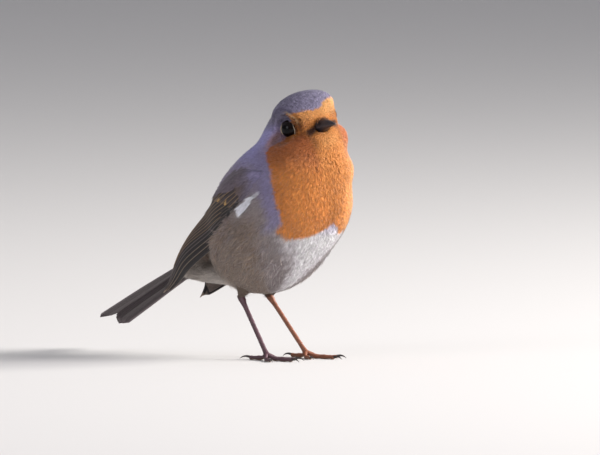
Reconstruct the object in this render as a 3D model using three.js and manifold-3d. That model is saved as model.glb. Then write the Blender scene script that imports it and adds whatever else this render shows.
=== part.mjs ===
// A life-size European robin (Erithacus rubecula) as a still museum model. Millimetres, +Z up.
// The bird faces -Y and its left side is +X. It stands on flat toe pads at z = 0, wings folded and
// a little drooped, tail closed and sloping down, head turned and cocked to its right.
import * as THREE from "three";
import { mergeVertices } from "three/addons/utils/BufferGeometryUtils.js";
import Module from "manifold-3d";

const wasm = await Module();
wasm.setup();

// ---------------------------------------------------------------- driving dimensions
const GAP = 0.3; // clearance between neighbouring solids
const FIT = 0.32; // how much a neighbour's socket is larger than what sits in it

const EYE_HEIGHT = 90.3; // of the point midway between the eyes
const EYE_FORWARD = 27.9;
const HEAD_TURN = -12; // degrees to the bird's right
const HEAD_LIFT = -5; // degrees, bill up
const HEAD_COCK = -15; // degrees, right side down
const TRUNK_PITCH = 50; // degrees, of the trunk's long axis

const WING_THICKNESS = 2.2;
const TAIL_LENGTH = 59;
const TAIL_PITCH = 27; // degrees, tip down
const TAIL_ROLL = 14; // degrees, left side down
const TARSUS_LENGTH = 26.2;

// ---------------------------------------------------------------- places and numbers
// A place on the bird: to its left, forward and up.
const at = (left, forward, up) => new THREE.Vector3(left, -forward, up);
const rad = THREE.MathUtils.degToRad;
const { lerp, smoothstep, clamp } = THREE.MathUtils;

// A smooth curve through [place along 0..1, value] pairs, read at t.
function eased(pairs, t) {
  const x = clamp(t, pairs[0][0], pairs.at(-1)[0]);
  const i = Math.min(pairs.findIndex((p, j) => j > 0 && x <= p[0]), pairs.length - 1);
  const [[x0, y0], [x1, y1]] = [pairs[i - 1], pairs[i]];
  const slope = (a, b) => (b[1] - a[1]) / (b[0] - a[0]);
  const m0 = i > 1 ? (slope(pairs[i - 2], pairs[i - 1]) + slope(pairs[i - 1], pairs[i])) / 2 : 0;
  const m1 = i < pairs.length - 1 ? (slope(pairs[i - 1], pairs[i]) + slope(pairs[i], pairs[i + 1])) / 2 : 0;
  const h = x1 - x0;
  const s = (x - x0) / h;
  const s2 = s * s;
  const s3 = s2 * s;
  return (2 * s3 - 3 * s2 + 1) * y0 + (s3 - 2 * s2 + s) * h * m0 + (3 * s2 - 2 * s3) * y1 + (s3 - s2) * h * m1;
}

// ---------------------------------------------------------------- solids and meshes
function toSolid(geometry) {
  const bare = geometry.clone();
  bare.deleteAttribute("normal");
  bare.deleteAttribute("uv");
  const merged = mergeVertices(bare, 1e-4);
  const kept = [];
  const index = merged.index.array;
  for (let i = 0; i < index.length; i += 3) {
    const [a, b, c] = index.slice(i, i + 3);
    if (a !== b && b !== c && c !== a) kept.push(a, b, c);
  }
  const build = (triangles) =>
    new wasm.Manifold(
      new wasm.Mesh({
        numProp: 3,
        vertProperties: new Float32Array(merged.attributes.position.array),
        triVerts: new Uint32Array(triangles),
      }),
    );
  const solid = build(kept);
  return solid.volume() > 0 ? solid : build(kept.reverse());
}

function toGeometry(solid) {
  const mesh = solid.getMesh();
  const places = new Float32Array(mesh.numVert * 3);
  for (let i = 0; i < mesh.numVert; i++) {
    places.set(mesh.vertProperties.subarray(i * mesh.numProp, i * mesh.numProp + 3), i * 3);
  }
  const geometry = new THREE.BufferGeometry();
  geometry.setAttribute("position", new THREE.BufferAttribute(places, 3));
  geometry.setIndex(new THREE.BufferAttribute(mesh.triVerts, 1));
  geometry.computeVertexNormals();
  return geometry;
}

// Moves every vertex of a geometry to where place(vertex) says.
function warp(geometry, place) {
  const position = geometry.attributes.position;
  const v = new THREE.Vector3();
  for (let i = 0; i < position.count; i++) {
    v.fromBufferAttribute(position, i);
    const p = place(v);
    position.setXYZ(i, p.x, p.y, p.z);
  }
  return geometry;
}

// A block whose top face lies in the plane through a point with this normal.
function halfSpace(point, normal, size = 160) {
  const turn = new THREE.Quaternion().setFromUnitVectors(new THREE.Vector3(0, 0, 1), normal.clone().normalize());
  const matrix = new THREE.Matrix4().compose(
    point.clone().addScaledVector(normal.clone().normalize(), -size / 2),
    turn,
    new THREE.Vector3(1, 1, 1),
  );
  return toSolid(new THREE.BoxGeometry(size, size, size).applyMatrix4(matrix));
}

// A tapering round limb along a curve: sized(t) gives [width, height] radii.
function limb(curve, sized, sides, steps, up = new THREE.Vector3(0, 0, 1)) {
  const shape = new THREE.CylinderGeometry(1, 1, 1, sides, steps);
  return warp(shape, (v) => {
    const t = clamp(v.y + 0.5, 0, 1);
    const along = curve.getTangentAt(t);
    const side = new THREE.Vector3().crossVectors(along, up).normalize();
    const top = new THREE.Vector3().crossVectors(side, along);
    const [wide, high] = sized(t);
    return curve.getPointAt(t).addScaledVector(side, v.x * wide).addScaledVector(top, -v.z * high);
  });
}

// ---------------------------------------------------------------- the plumage's outer form
const headMatrix = new THREE.Matrix4().compose(
  at(0, EYE_FORWARD, EYE_HEIGHT),
  new THREE.Quaternion().setFromEuler(new THREE.Euler(rad(HEAD_LIFT), rad(HEAD_COCK), rad(HEAD_TURN), "ZXY")),
  new THREE.Vector3(1, 1, 1),
);
const headInverse = headMatrix.clone().invert();
const inHead = (left, forward, up) => at(left, forward, up).applyMatrix4(headMatrix);

// A rounded mass: centre, radii across, along and through, pitched nose-up by degrees. A squareness
// of 2 is an ellipsoid, and more is boxier.
const mass = (left, forward, up, across, along, through, pitch = 0, squareness = 2) => ({
  centre: at(left, forward, up),
  radii: [across, along, through],
  cos: Math.cos(rad(pitch)),
  sin: Math.sin(rad(pitch)),
  squareness,
});

function depthIn(part, point) {
  const x = point.x - part.centre.x;
  const y = point.y - part.centre.y;
  const z = point.z - part.centre.z;
  const ahead = -y * part.cos + z * part.sin;
  const above = y * part.sin + z * part.cos;
  const [a, b, c] = part.radii;
  const n = part.squareness;
  const k0 = (Math.abs(x / a) ** n + Math.abs(ahead / b) ** n + Math.abs(above / c) ** n) ** (1 / n);
  const k1 = Math.hypot(x / (a * a), ahead / (b * b), above / (c * c));
  return k1 < 1e-9 ? -Math.min(a, b, c) : (k0 * (k0 - 1)) / k1;
}

const blendOf = (a, b, reach) => {
  const h = Math.max(reach - Math.abs(a - b), 0) / reach;
  return Math.min(a, b) - (h * h * reach) / 4;
};

const BODY_MASSES = [
  mass(0, 11.2, 54.9, 24, 32.8, 23.7, TRUNK_PITCH, 2.2), // belly
  mass(0, 18.1, 59.5, 22.5, 19.6, 17.9, 20, 2.2), // breast
  mass(0, 2.8, 60.3, 15.6, 12, 12.2, TRUNK_PITCH), // mantle
  mass(0, -19.5, 45, 11, 19, 9.1, 36), // rump
  mass(0, -13, 31.8, 8, 31, 4.9, -1), // vent
  mass(0, 28.8, 74, 19.2, 12.6, 6.9), // throat
];
// In the head's own frame: forward of, beside and above the point between the eyes.
const HEAD_MASSES = [
  mass(0, -2.1, 2.6, 13.5, 9.4, 8.9, 0, 2.4), // cranium
  mass(0, -0.6, -7.4, 13.8, 9.1, 6.5), // cheeks
  mass(0, -10.2, -3.8, 12.2, 9.2, 11), // nape
  mass(0, 3.4, 0.8, 9.8, 4.4, 5.2), // lores
  mass(0, 3.4, -9.4, 12, 4.9, 4), // jowl
];
const ORBIT = { side: 14.5, ahead: 2, up: 0.3, radius: 5.4 }; // the shallow dish that each eye lies in
const BODY_BLEND = 6;
const HEAD_BLEND = 4;
const NECK_BLEND = 6;
const ORBIT_BLEND = 1.6;

function plumage(point) {
  const body = BODY_MASSES.map((m) => depthIn(m, point)).reduce((a, b) => blendOf(a, b, BODY_BLEND));
  const inFace = point.clone().applyMatrix4(headInverse);
  const head = HEAD_MASSES.map((m) => depthIn(m, inFace)).reduce((a, b) => blendOf(a, b, HEAD_BLEND));
  inFace.x = Math.abs(inFace.x);
  const orbit = inFace.distanceTo(at(ORBIT.side, ORBIT.ahead, ORBIT.up)) - ORBIT.radius;
  return -blendOf(-blendOf(body, head, NECK_BLEND), orbit, ORBIT_BLEND);
}

// A ball stretched from a centre along the trunk's or head's axis until it meets the plumage's form.
function castForm(centre, stretch, around, rows, farthest) {
  const axis = stretch.clone().normalize();
  const longer = stretch.length() - 1;
  const ball = new THREE.SphereGeometry(1, around, rows);
  const toAxis = new THREE.Quaternion().setFromUnitVectors(new THREE.Vector3(0, 1, 0), axis);
  warp(ball, (v) => {
    const ray = v.clone().applyQuaternion(toAxis);
    ray.addScaledVector(axis, ray.dot(axis) * longer).normalize();
    let near = 0;
    let far = farthest;
    for (let i = 0; i < 26; i++) {
      const middle = (near + far) / 2;
      if (plumage(centre.clone().addScaledVector(ray, middle)) < 0) near = middle;
      else far = middle;
    }
    return centre.clone().addScaledVector(ray, near);
  });
  return toSolid(ball);
}

// ---------------------------------------------------------------- wings
// The folded wing is a plate between an upper and a lower edge, from the wrist to the tip. It lies
// on the plumage, and its tip reaches past it.
const upperEdge = new THREE.CatmullRomCurve3(
  [at(17, 22, 74), at(13.5, 12, 76), at(10, -3, 69.5), at(8.6, -13, 60.5), at(8.6, -24, 49), at(9.6, -34, 36), at(11.2, -38.6, 26)],
  false,
  "centripetal",
);
const lowerEdge = new THREE.CatmullRomCurve3(
  [at(18, 23.5, 69), at(20.5, 14, 56.5), at(21.5, 6, 49.5), at(20.5, -3.5, 42.3), at(17.4, -19.5, 33.4), at(14, -29, 27.6), at(11.8, -38.4, 23.2)],
  false,
  "centripetal",
);
const WING_ARCH = [[0, 1], [0.3, 2.2], [0.7, 2.6], [1, 0.2]]; // least height of the plate's middle
const WING_SINK = 0.9; // how deep the plate's middle lies in the plumage
const WING_ALONG = 18;
const WING_ACROSS = 6;

// A point of the left wing's middle layer and its outward direction: u from wrist to tip, v from
// the upper to the lower edge.
function wingPlace(u, v) {
  const top = upperEdge.getPoint(u);
  const across = lowerEdge.getPoint(u).sub(top);
  const along = upperEdge.getTangent(u).add(lowerEdge.getTangent(u));
  const outward = new THREE.Vector3().crossVectors(along, across).normalize();
  outward.multiplyScalar(Math.sign(outward.x));
  const guide = top.addScaledVector(across, v);
  const reach = eased(WING_ARCH, u) * 4 * v * (1 - v);
  const place = guide.clone().addScaledVector(outward, reach);
  while (plumage(place) < -WING_SINK) place.x += 0.1;
  return { place, outward, across };
}

// The plate itself, or the room that it needs: grown all round, and open to the outside.
function wingPlate(side, grow = 0, open = 0) {
  const plate = new THREE.BoxGeometry(1, 1, 1, WING_ALONG, WING_ACROSS, 1);
  return toSolid(
    warp(plate, (p) => {
      const u = clamp(p.x + 0.5, 0, 1);
      const v = p.y + 0.5;
      const { place, outward, across } = wingPlace(u, v);
      const rim = 1 - Math.abs(2 * v - 1) ** 4;
      const half = (WING_THICKNESS / 2) * lerp(0.4, 1, rim) * lerp(1, 0.45, smoothstep(u, 0.6, 1));
      place.addScaledVector(outward, p.z > 0 ? half + grow + open : -half - grow);
      place.addScaledVector(across.normalize(), Math.sign(v - 0.5) * (v === 0 || v === 1 ? grow : 0));
      if (u === 0 || u === 1) place.addScaledVector(upperEdge.getTangent(u), Math.sign(u - 0.5) * grow);
      place.x *= side;
      return place;
    }),
  );
}

// ---------------------------------------------------------------- tail
const tailMatrix = new THREE.Matrix4().compose(
  at(0, -27, 39.2),
  new THREE.Quaternion().setFromEuler(new THREE.Euler(rad(-TAIL_PITCH), rad(TAIL_ROLL), 0, "XYZ")),
  new THREE.Vector3(1, 1, 1),
);
const TAIL_HALF_WIDTH = [[0, 4.2], [0.35, 5.2], [0.75, 6], [1, 5.6]];
const TAIL_NOTCH = 5; // how much shorter the middle feathers are than the longest
const TAIL_CORNER = 3.5; // how much shorter the outermost feathers are
const TAIL_ROOF = 1.2; // how far the edges hang below the middle

function tailPlate(grow = 0) {
  const plate = new THREE.BoxGeometry(1, 1, 1, 12, 8, 1);
  return toSolid(
    warp(plate, (p) => {
      const t = clamp(p.y + 0.5, 0, 1);
      const across = 2 * p.x;
      const half = eased(TAIL_HALF_WIDTH, t) + grow;
      const corner = TAIL_CORNER * smoothstep(Math.abs(across), 0.6, 1) ** 2;
      const notch = TAIL_NOTCH * (1 - smoothstep(Math.abs(across), 0, 0.5));
      const thick = lerp(2.6, 1, t) / 2 + grow;
      const y = t * (TAIL_LENGTH - t * t * (notch + corner)) + (t > 0.5 ? grow : -grow);
      const z = Math.sign(p.z) * thick - TAIL_ROOF * across * across * t;
      return new THREE.Vector3(across * half, y, z).applyMatrix4(tailMatrix);
    }),
  );
}

// ---------------------------------------------------------------- bill
const BILL_ROOT = 5.4; // forward of the point between the eyes, inside the face
const BILL_TIP = 18.2;
const GAPE_UP = -3.2;
const BILL_RISE = 1.2; // of the tip above the gape
const BILL_WIDTH = [[0, 3.1], [0.3, 2.5], [0.6, 1.6], [0.85, 0.8], [1, 0.25]];
const CULMEN = [[0, 3.5], [0.3, 3.1], [0.6, 2.1], [0.85, 1.1], [1, 0.25]];
const GONYS = [[0, 2], [0.3, 1.6], [0.6, 1.05], [0.85, 0.6], [1, 0.25]];
const billLine = (t) => GAPE_UP + 0.4 * Math.sin(Math.PI * t) + BILL_RISE * t;

// One half of the bill: the upper one rises to the culmen, the lower one falls to the gonys.
function billHalf(isUpper, grow = 0) {
  const depths = isUpper ? CULMEN : GONYS;
  const reach = isUpper ? BILL_TIP : BILL_TIP - 0.7;
  const narrow = isUpper ? 1 : 0.9;
  const shape = new THREE.CylinderGeometry(1, 1, 1, 12, 6);
  return toSolid(
    warp(shape, (v) => {
      const t = clamp(v.y + 0.5, 0, 1);
      const high = v.z > 0 ? (eased(depths, t) + grow) * v.z ** 1.15 : v.z * (0.05 + grow);
      const wide = eased(BILL_WIDTH, t) * narrow + grow;
      const side = isUpper ? 1 : -1;
      const up = billLine(t) + side * (GAP / 2 + high);
      return inHead(v.x * wide, lerp(BILL_ROOT - grow, reach + grow, t), up);
    }),
  );
}

// ---------------------------------------------------------------- eyes
const EYE_RADIUS = 3.3;
const EYE_SIDE = 7.8; // of the eyeball's centre
const EYE_AHEAD = 0.1;
function eyeball(side, grow = 0) {
  const ball = new THREE.SphereGeometry(EYE_RADIUS + grow, 14, 9);
  return toSolid(ball.applyMatrix4(new THREE.Matrix4().setPosition(inHead(side * EYE_SIDE, EYE_AHEAD, 0))));
}

// ---------------------------------------------------------------- legs
const HEEL = { side: 7.4, forward: -1, up: 22.9 };
const LEGS = [
  { name: "left", side: 1, splay: 5.5 },
  { name: "right", side: -1, splay: 1.2 },
];
const TOE_JOINT_UP = 1.75;
const TOE_SPACING = 1.75; // between the roots of neighbouring front toes
const TOES = [
  // turn is in degrees from straight ahead towards the outside, place in toe spacings outwards
  { name: "hind", length: 8.6, claw: 6, turn: 176, place: 0, radius: 0.95 },
  { name: "inner", length: 9.8, claw: 4, turn: -27, place: -1, radius: 0.74 },
  { name: "middle", length: 14.2, claw: 4.6, turn: 3, place: 0, radius: 0.82 },
  { name: "outer", length: 10.8, claw: 3.8, turn: 31, place: 1, radius: 0.74 },
];
const PAD_DEPTH = 0.72; // of a toe's radius, from its middle line down to the ground

const heelOf = (leg) => at(leg.side * HEEL.side, HEEL.forward, HEEL.up);

function toeJointOf(leg) {
  const drop = HEEL.up - TOE_JOINT_UP;
  const ahead = Math.sqrt(TARSUS_LENGTH ** 2 - drop ** 2 - leg.splay ** 2);
  return at(leg.side * (HEEL.side + leg.splay), HEEL.forward + ahead, TOE_JOINT_UP);
}

// The feathered lower thigh, from inside the belly to just above the heel.
function thigh(leg, grow = 0) {
  const heel = heelOf(leg);
  const top = at(leg.side * (HEEL.side + 2.6), HEEL.forward + 5.5, HEEL.up + 12);
  const line = new THREE.LineCurve3(top, heel.clone().lerp(top, 0.1));
  const sized = (t) => [lerp(6, 1.7, t ** 0.8) + grow, lerp(6.8, 2, t ** 0.8) + grow];
  return toSolid(limb(line, sized, 12, 4, new THREE.Vector3(0, 1, 0)));
}

// The bare shank, thicker at the heel and above the toes.
function tarsus(leg) {
  const heel = heelOf(leg);
  const joint = toeJointOf(leg);
  const along = joint.clone().sub(heel).normalize();
  const line = new THREE.LineCurve3(heel.addScaledVector(along, -0.3), joint.addScaledVector(along, -0.6));
  const knob = (t) => 1 + 0.6 * Math.exp(-((t / 0.1) ** 2)) + 0.35 * Math.exp(-(((t - 1) / 0.08) ** 2));
  return toSolid(limb(line, (t) => [0.76 * knob(t), 0.98 * knob(t)], 8, 9, new THREE.Vector3(0, 1, 0)));
}

// The ball of the foot, where the shank meets the toes.
function footBall(leg, grow = 0) {
  const ball = new THREE.SphereGeometry(1, 10, 6);
  const size = new THREE.Vector3(2.1 + grow, 1.5 + grow, 1.35 + grow);
  return toSolid(warp(ball, (v) => v.clone().multiply(size).add(toeJointOf(leg))));
}

// The ground line of a toe: a function from distance out and height to a place.
function toeLine(leg, toe) {
  const turn = rad(toe.turn);
  const root = toeJointOf(leg).add(at(leg.side * toe.place * TOE_SPACING, 0, 0));
  const way = at(leg.side * Math.sin(turn), Math.cos(turn), 0);
  return (distance, up) => root.clone().addScaledVector(way, distance).setZ(up);
}

const aboveGround = halfSpace(new THREE.Vector3(), new THREE.Vector3(0, 0, -1));

// A toe: a row of pads from the ball of the foot to the claw, cut flat where it rests.
function toe(leg, spec) {
  const place = toeLine(leg, spec);
  const low = spec.radius * PAD_DEPTH;
  const curve = new THREE.CatmullRomCurve3([
    place(0.6, TOE_JOINT_UP - 0.6),
    place(spec.length * 0.3, low + 0.25),
    place(spec.length * 0.65, low + 0.1),
    place(spec.length, low + 0.05),
  ]);
  const pads = spec.length > 12 ? 3 : 2;
  const sized = (t) => {
    const radius = spec.radius * lerp(1.02, 0.82, t) * (1 + 0.12 * Math.cos(2 * Math.PI * pads * t));
    return [radius, radius];
  };
  return toSolid(limb(curve, sized, 6, 4 * pads)).intersect(aboveGround).subtract(footBall(leg, GAP));
}

function claw(leg, spec) {
  const place = toeLine(leg, spec);
  const low = spec.radius * PAD_DEPTH;
  const from = spec.length + GAP;
  const reach = spec.claw * 0.86;
  const curve = new THREE.CatmullRomCurve3([
    place(from, low + 0.15),
    place(from + reach * 0.35, low + 0.55),
    place(from + reach * 0.72, low + 0.3),
    place(from + reach, 0.2),
  ]);
  const sized = (t) => [lerp(0.5, 0.22, t), lerp(0.66, 0.24, t ** 1.3)];
  return toSolid(limb(curve, sized, 6, 4)).intersect(aboveGround);
}

// ---------------------------------------------------------------- colours
const finish = (color, roughness, metalness = 0) => new THREE.MeshStandardMaterial({ color, roughness, metalness });
const finishes = {
  back: finish(0x6a6250, 0.85),
  face: finish(0xc8701e, 0.85),
  wing: finish(0x4e463c, 0.8),
  tail: finish(0x584c41, 0.8),
  thigh: finish(0x8a8272, 0.85),
  bill: finish(0x241d1c, 0.35),
  eye: finish(0x0b0807, 0.06),
  leg: finish(0x5f3f33, 0.5),
  claw: finish(0x2b2322, 0.4),
};

// ---------------------------------------------------------------- assembly
const robin = new THREE.Group();
const add = (name, solid, material) => {
  const mesh = new THREE.Mesh(toGeometry(solid), material);
  mesh.name = name;
  robin.add(mesh);
};
const less = (solid, cutters) => cutters.reduce((rest, cutter) => rest.subtract(cutter), solid);
const largest = (solid) => solid.decompose().reduce((a, b) => (a.volume() > b.volume() ? a : b));

// The head, neck and trunk are one form, parted by two thin slanted cuts.
const headCut = { point: at(0, 22.5, 80), normal: at(0, 0.42, 0.9) };
const neckCut = { point: at(0, 18, 73.5), normal: at(0, 0.42, 0.9) };
function side(cut, isAbove) {
  const normal = cut.normal.clone().multiplyScalar(isAbove ? -1 : 1);
  return halfSpace(cut.point.clone().addScaledVector(normal.clone().normalize(), -GAP / 2), normal);
}

const trunkAxis = at(0, Math.cos(rad(TRUNK_PITCH)), Math.sin(rad(TRUNK_PITCH)));
const trunkForm = castForm(at(0, 3, 50), trunkAxis.clone().multiplyScalar(1.35), 32, 22, 90);
const neckForm = castForm(at(0, 21.5, 77), trunkAxis, 28, 18, 45);
const headForm = castForm(at(0, 25.5, 86), trunkAxis, 30, 23, 30);

const wingRooms = [wingPlate(1, FIT, 9), wingPlate(-1, FIT, 9)];
const thighRooms = LEGS.map((leg) => thigh(leg, FIT));
const faceRooms = [eyeball(1, FIT), eyeball(-1, FIT), billHalf(true, FIT), billHalf(false, FIT)];

const trunk = less(trunkForm.intersect(side(neckCut, false)), [...wingRooms, ...thighRooms, tailPlate(FIT)]);
const neck = less(neckForm.intersect(side(neckCut, true)).intersect(side(headCut, false)), wingRooms);
const head = less(headForm.intersect(side(headCut, true)), faceRooms);
add("trunk", largest(trunk), finishes.back);
add("neck", largest(neck), finishes.face);
add("head", largest(head), finishes.face);
add("bill_upper", billHalf(true), finishes.bill);
add("bill_lower", billHalf(false), finishes.bill);
add("eye_left", eyeball(1), finishes.eye);
add("eye_right", eyeball(-1), finishes.eye);
add("wing_left", wingPlate(1), finishes.wing);
add("wing_right", wingPlate(-1), finishes.wing);
add("tail", tailPlate(), finishes.tail);

for (const leg of LEGS) {
  const shank = tarsus(leg).add(footBall(leg));
  add(`thigh_${leg.name}`, thigh(leg).subtract(shank), finishes.thigh);
  add(`shank_${leg.name}`, shank, finishes.leg);
  for (const spec of TOES) {
    add(`toe_${leg.name}_${spec.name}`, toe(leg, spec), finishes.leg);
    add(`claw_${leg.name}_${spec.name}`, claw(leg, spec), finishes.claw);
  }
}

// The origin is under the middle of the whole bird, on the ground.
const room = new THREE.Box3().setFromObject(robin);
robin.position.set(-(room.min.x + room.max.x) / 2, -(room.min.y + room.max.y) / 2, 0);

export default robin;
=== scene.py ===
# A life-size European robin, dressed: one skin under a coat of small feathers, folded wings and tail
# of single flight feathers, eyes with lids, a horn bill, scaled legs and claws. Metres, +Z up, the
# bird faces -Y and its left side is +X.
import bpy
import math
import numpy as np
from mathutils import Matrix, Vector
from mathutils.kdtree import KDTree


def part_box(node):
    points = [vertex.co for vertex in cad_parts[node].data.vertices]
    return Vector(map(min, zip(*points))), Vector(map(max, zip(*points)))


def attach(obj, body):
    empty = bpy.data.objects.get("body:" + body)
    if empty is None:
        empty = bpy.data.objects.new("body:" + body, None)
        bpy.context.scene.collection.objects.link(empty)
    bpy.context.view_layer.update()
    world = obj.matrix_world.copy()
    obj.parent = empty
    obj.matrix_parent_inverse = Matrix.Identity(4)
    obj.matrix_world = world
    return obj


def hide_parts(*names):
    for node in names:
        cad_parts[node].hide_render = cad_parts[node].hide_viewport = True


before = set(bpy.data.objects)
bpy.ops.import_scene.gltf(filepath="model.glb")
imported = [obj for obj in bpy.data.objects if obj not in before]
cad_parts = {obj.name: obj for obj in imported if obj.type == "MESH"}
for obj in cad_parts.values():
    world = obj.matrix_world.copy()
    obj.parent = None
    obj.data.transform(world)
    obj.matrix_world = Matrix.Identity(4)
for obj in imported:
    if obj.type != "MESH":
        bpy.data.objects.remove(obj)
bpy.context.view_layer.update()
random = np.random.default_rng(7)

# ---------------------------------------------------------------- the bird's own measures, in mm
MM = 0.001
EYE_HEIGHT = 90.3  # of the point midway between the eyes
EYE_FORWARD = 27.9
HEAD_TURN = -12  # degrees
HEAD_LIFT = -5
HEAD_COCK = -15
TRUNK_PITCH = 50
TAIL_PITCH = 27
TAIL_ROLL = 14
EYE_RADIUS = 3.85  # of the eyeball
EYE_SIDE = 8.1  # of each eyeball's centre, in the head's own frame
EYE_AHEAD = 0.1
EYE_BELOW = 0.4
SIDES = {"left": 1, "right": -1}


def at(left, forward, up):
    """A place on the bird: to its left, forward and up."""
    return np.array([left, -forward, up], float)


def turned(degrees, axis):
    """The matrix of a turn round one axis."""
    return np.array(Matrix.Rotation(math.radians(degrees), 3, axis))


def lerp(a, b, t):
    """From a to b as t goes from 0 to 1."""
    return a + (b - a) * t


def smoothstep(x, low, high):
    """Eases from 0 at low to 1 at high; high may be the smaller of the two."""
    t = np.clip((x - low) / (high - low), 0, 1)
    return t * t * (3 - 2 * t)


def eased(pairs, t):
    """A smooth curve through [place, value] pairs, read at t."""
    xs, ys = np.array(pairs, float).T
    x = np.clip(t, xs[0], xs[-1])
    i = np.clip(np.searchsorted(xs, x, side="left"), 1, len(xs) - 1)
    step = (ys[1:] - ys[:-1]) / (xs[1:] - xs[:-1])
    slope = np.concatenate([[0], (step[1:] + step[:-1]) / 2, [0]])
    h = xs[i] - xs[i - 1]
    s = (x - xs[i - 1]) / h
    return (
        (2 * s**3 - 3 * s**2 + 1) * ys[i - 1]
        + (s**3 - 2 * s**2 + s) * h * slope[i - 1]
        + (3 * s**2 - 2 * s**3) * ys[i]
        + (s**3 - s**2) * h * slope[i]
    )


def unit(v):
    """Directions brought to length 1."""
    return v / np.maximum(np.linalg.norm(v, axis=-1, keepdims=True), 1e-12)


def level_with(normal, way):
    """Directions laid flat across the normals, at length 1."""
    return unit(way - normal * (way * normal).sum(1, keepdims=True))


def on_the_left(p):
    """Places brought over to the bird's left side where they are on its right."""
    q = p.copy()
    q[:, 0] = np.abs(q[:, 0])
    return q


def round_span(points, t):
    """For each t from 0 to 1 along a row of places, the four places round its span and how far
    through the span it lies."""
    p = np.concatenate([[2 * points[0] - points[1]], points, [2 * points[-1] - points[-2]]])
    x = np.clip(t, 0, 1) * (len(points) - 1)
    i = np.minimum(np.floor(x).astype(int), len(points) - 2)
    return p[i], p[i + 1], p[i + 2], p[i + 3], (x - i)[:, None]


def bridge(p1, m1, p2, m2, w):
    """The cubic from p1 to p2 that leaves along m1 and arrives along m2."""
    leaving = (2 * w**3 - 3 * w**2 + 1) * p1 + (w**3 - 2 * w**2 + w) * m1
    return leaving + (3 * w**2 - 2 * w**3) * p2 + (w**3 - w**2) * m2


head_centre = at(0, EYE_FORWARD, EYE_HEIGHT)
head_turn = turned(HEAD_TURN, "Z") @ turned(HEAD_LIFT, "X") @ turned(HEAD_COCK, "Y")


def in_head(left, forward, up):
    """A place given in the head's own frame."""
    return head_turn @ at(left, forward, up) + head_centre


def in_head_many(q):
    """Places given as (left, forward, up) in the head's own frame, many at once."""
    return (q * [1, -1, 1]) @ head_turn.T + head_centre


def to_head(p):
    """Places on the bird as (left, forward, up) in the head's own frame."""
    q = (p - head_centre) @ head_turn
    return np.stack([q[..., 0], -q[..., 1], q[..., 2]], axis=-1)


def box_middle(node):
    """The middle of a solid's box, in mm."""
    low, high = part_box(node)
    return np.array((low + high) / 2) / MM


eyes_middle = (box_middle("eye_left") + box_middle("eye_right")) / 2
SHIFT = eyes_middle - in_head(0, EYE_AHEAD, 0)  # from the bird's own frame to the row's


def to_row(p):
    """Places on the bird, in mm, as places in the row's frame, in metres."""
    return (p + SHIFT) * MM


# ---------------------------------------------------------------- the plumage's outer form
def mass(left, forward, up, across, along, through, pitch=0, squareness=2):
    """One rounded mass of plumage: its middle, half sizes, pitch in degrees and squareness."""
    turn = math.radians(pitch)
    return at(left, forward, up), (across, along, through), math.cos(turn), math.sin(turn), squareness


def depth_in(part, p):
    """Roughly how far places are outside one mass."""
    centre, (a, b, c), cos, sin, n = part
    x, y, z = (p - centre).T
    ahead = -y * cos + z * sin
    above = y * sin + z * cos
    k0 = (np.abs(x / a) ** n + np.abs(ahead / b) ** n + np.abs(above / c) ** n) ** (1 / n)
    k1 = np.sqrt((x / a**2) ** 2 + (ahead / b**2) ** 2 + (above / c**2) ** 2)
    return k0 * (k0 - 1) / np.maximum(k1, 1e-9)


def blend_of(a, b, reach):
    """Two forms as one, with a soft fillet where they meet."""
    h = np.maximum(reach - np.abs(a - b), 0) / reach
    return np.minimum(a, b) - h * h * reach / 4


BODY_MASSES = [
    mass(0, 11.2, 54.9, 24, 32.8, 23.7, TRUNK_PITCH, 2.2),  # belly
    mass(0, 18.1, 59.5, 22.5, 19.6, 17.9, 20, 2.2),  # breast
    mass(0, 2.8, 60.3, 15.6, 12, 12.2, TRUNK_PITCH),  # mantle
    mass(0, -19.5, 45, 11, 19, 9.1, 36),  # rump
    mass(0, -13, 31.8, 8, 31, 4.9, -1),  # vent
    mass(0, 28.3, 72.4, 19.2, 12.6, 8.8),  # throat
]
HEAD_MASSES = [
    mass(0, -2.1, 2.6, 13.4, 9.4, 8.9, 0, 2.1),  # cranium
    mass(0, -0.6, -7.2, 13.8, 9.1, 6.7),  # cheeks
    mass(0, -10.2, -3.8, 12.2, 9.2, 11),  # nape
    mass(0, 3.2, 0.6, 11.7, 5.1, 5.7, 0, 2.5),  # lores
    mass(0, 3.4, -9.4, 11, 4.9, 4),  # jowl
    mass(0, 0.7, 4.4, 12.2, 7.0, 4.7),  # brow
    mass(0, 6.9, -7.8, 6.6, 4.5, 3.3),  # chin
]
ORBIT_SIDE, ORBIT_AHEAD, ORBIT_UP, ORBIT_RADIUS = 14.5, 1.4, 0, 4.9


def plumage(p):
    """Roughly how far places are outside the plumage's outer form."""
    body = depth_in(BODY_MASSES[0], p)
    for part in BODY_MASSES[1:]:
        body = blend_of(body, depth_in(part, p), 6)
    face = to_head(p)
    in_face = np.stack([face[:, 0], -face[:, 1], face[:, 2]], axis=-1)
    head = depth_in(HEAD_MASSES[0], in_face)
    for part in HEAD_MASSES[1:]:
        head = blend_of(head, depth_in(part, in_face), 4)
    from_orbit = on_the_left(face) - [ORBIT_SIDE, ORBIT_AHEAD, ORBIT_UP]
    orbit = np.linalg.norm(from_orbit, axis=1) - ORBIT_RADIUS
    return -blend_of(-blend_of(body, head, 9), orbit, 1.6)


HEEL_SIDE, HEEL_FORWARD, HEEL_UP = 7.4, -1, 22.9
TARSUS_LENGTH = 26.2
TOE_JOINT_UP = 1.75
LEGS = {"left": (1, 5.5), "right": (-1, 1.2)}  # side and splay


def heel_of(leg):
    """Where the shank meets the thigh."""
    return at(LEGS[leg][0] * HEEL_SIDE, HEEL_FORWARD, HEEL_UP)


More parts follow.
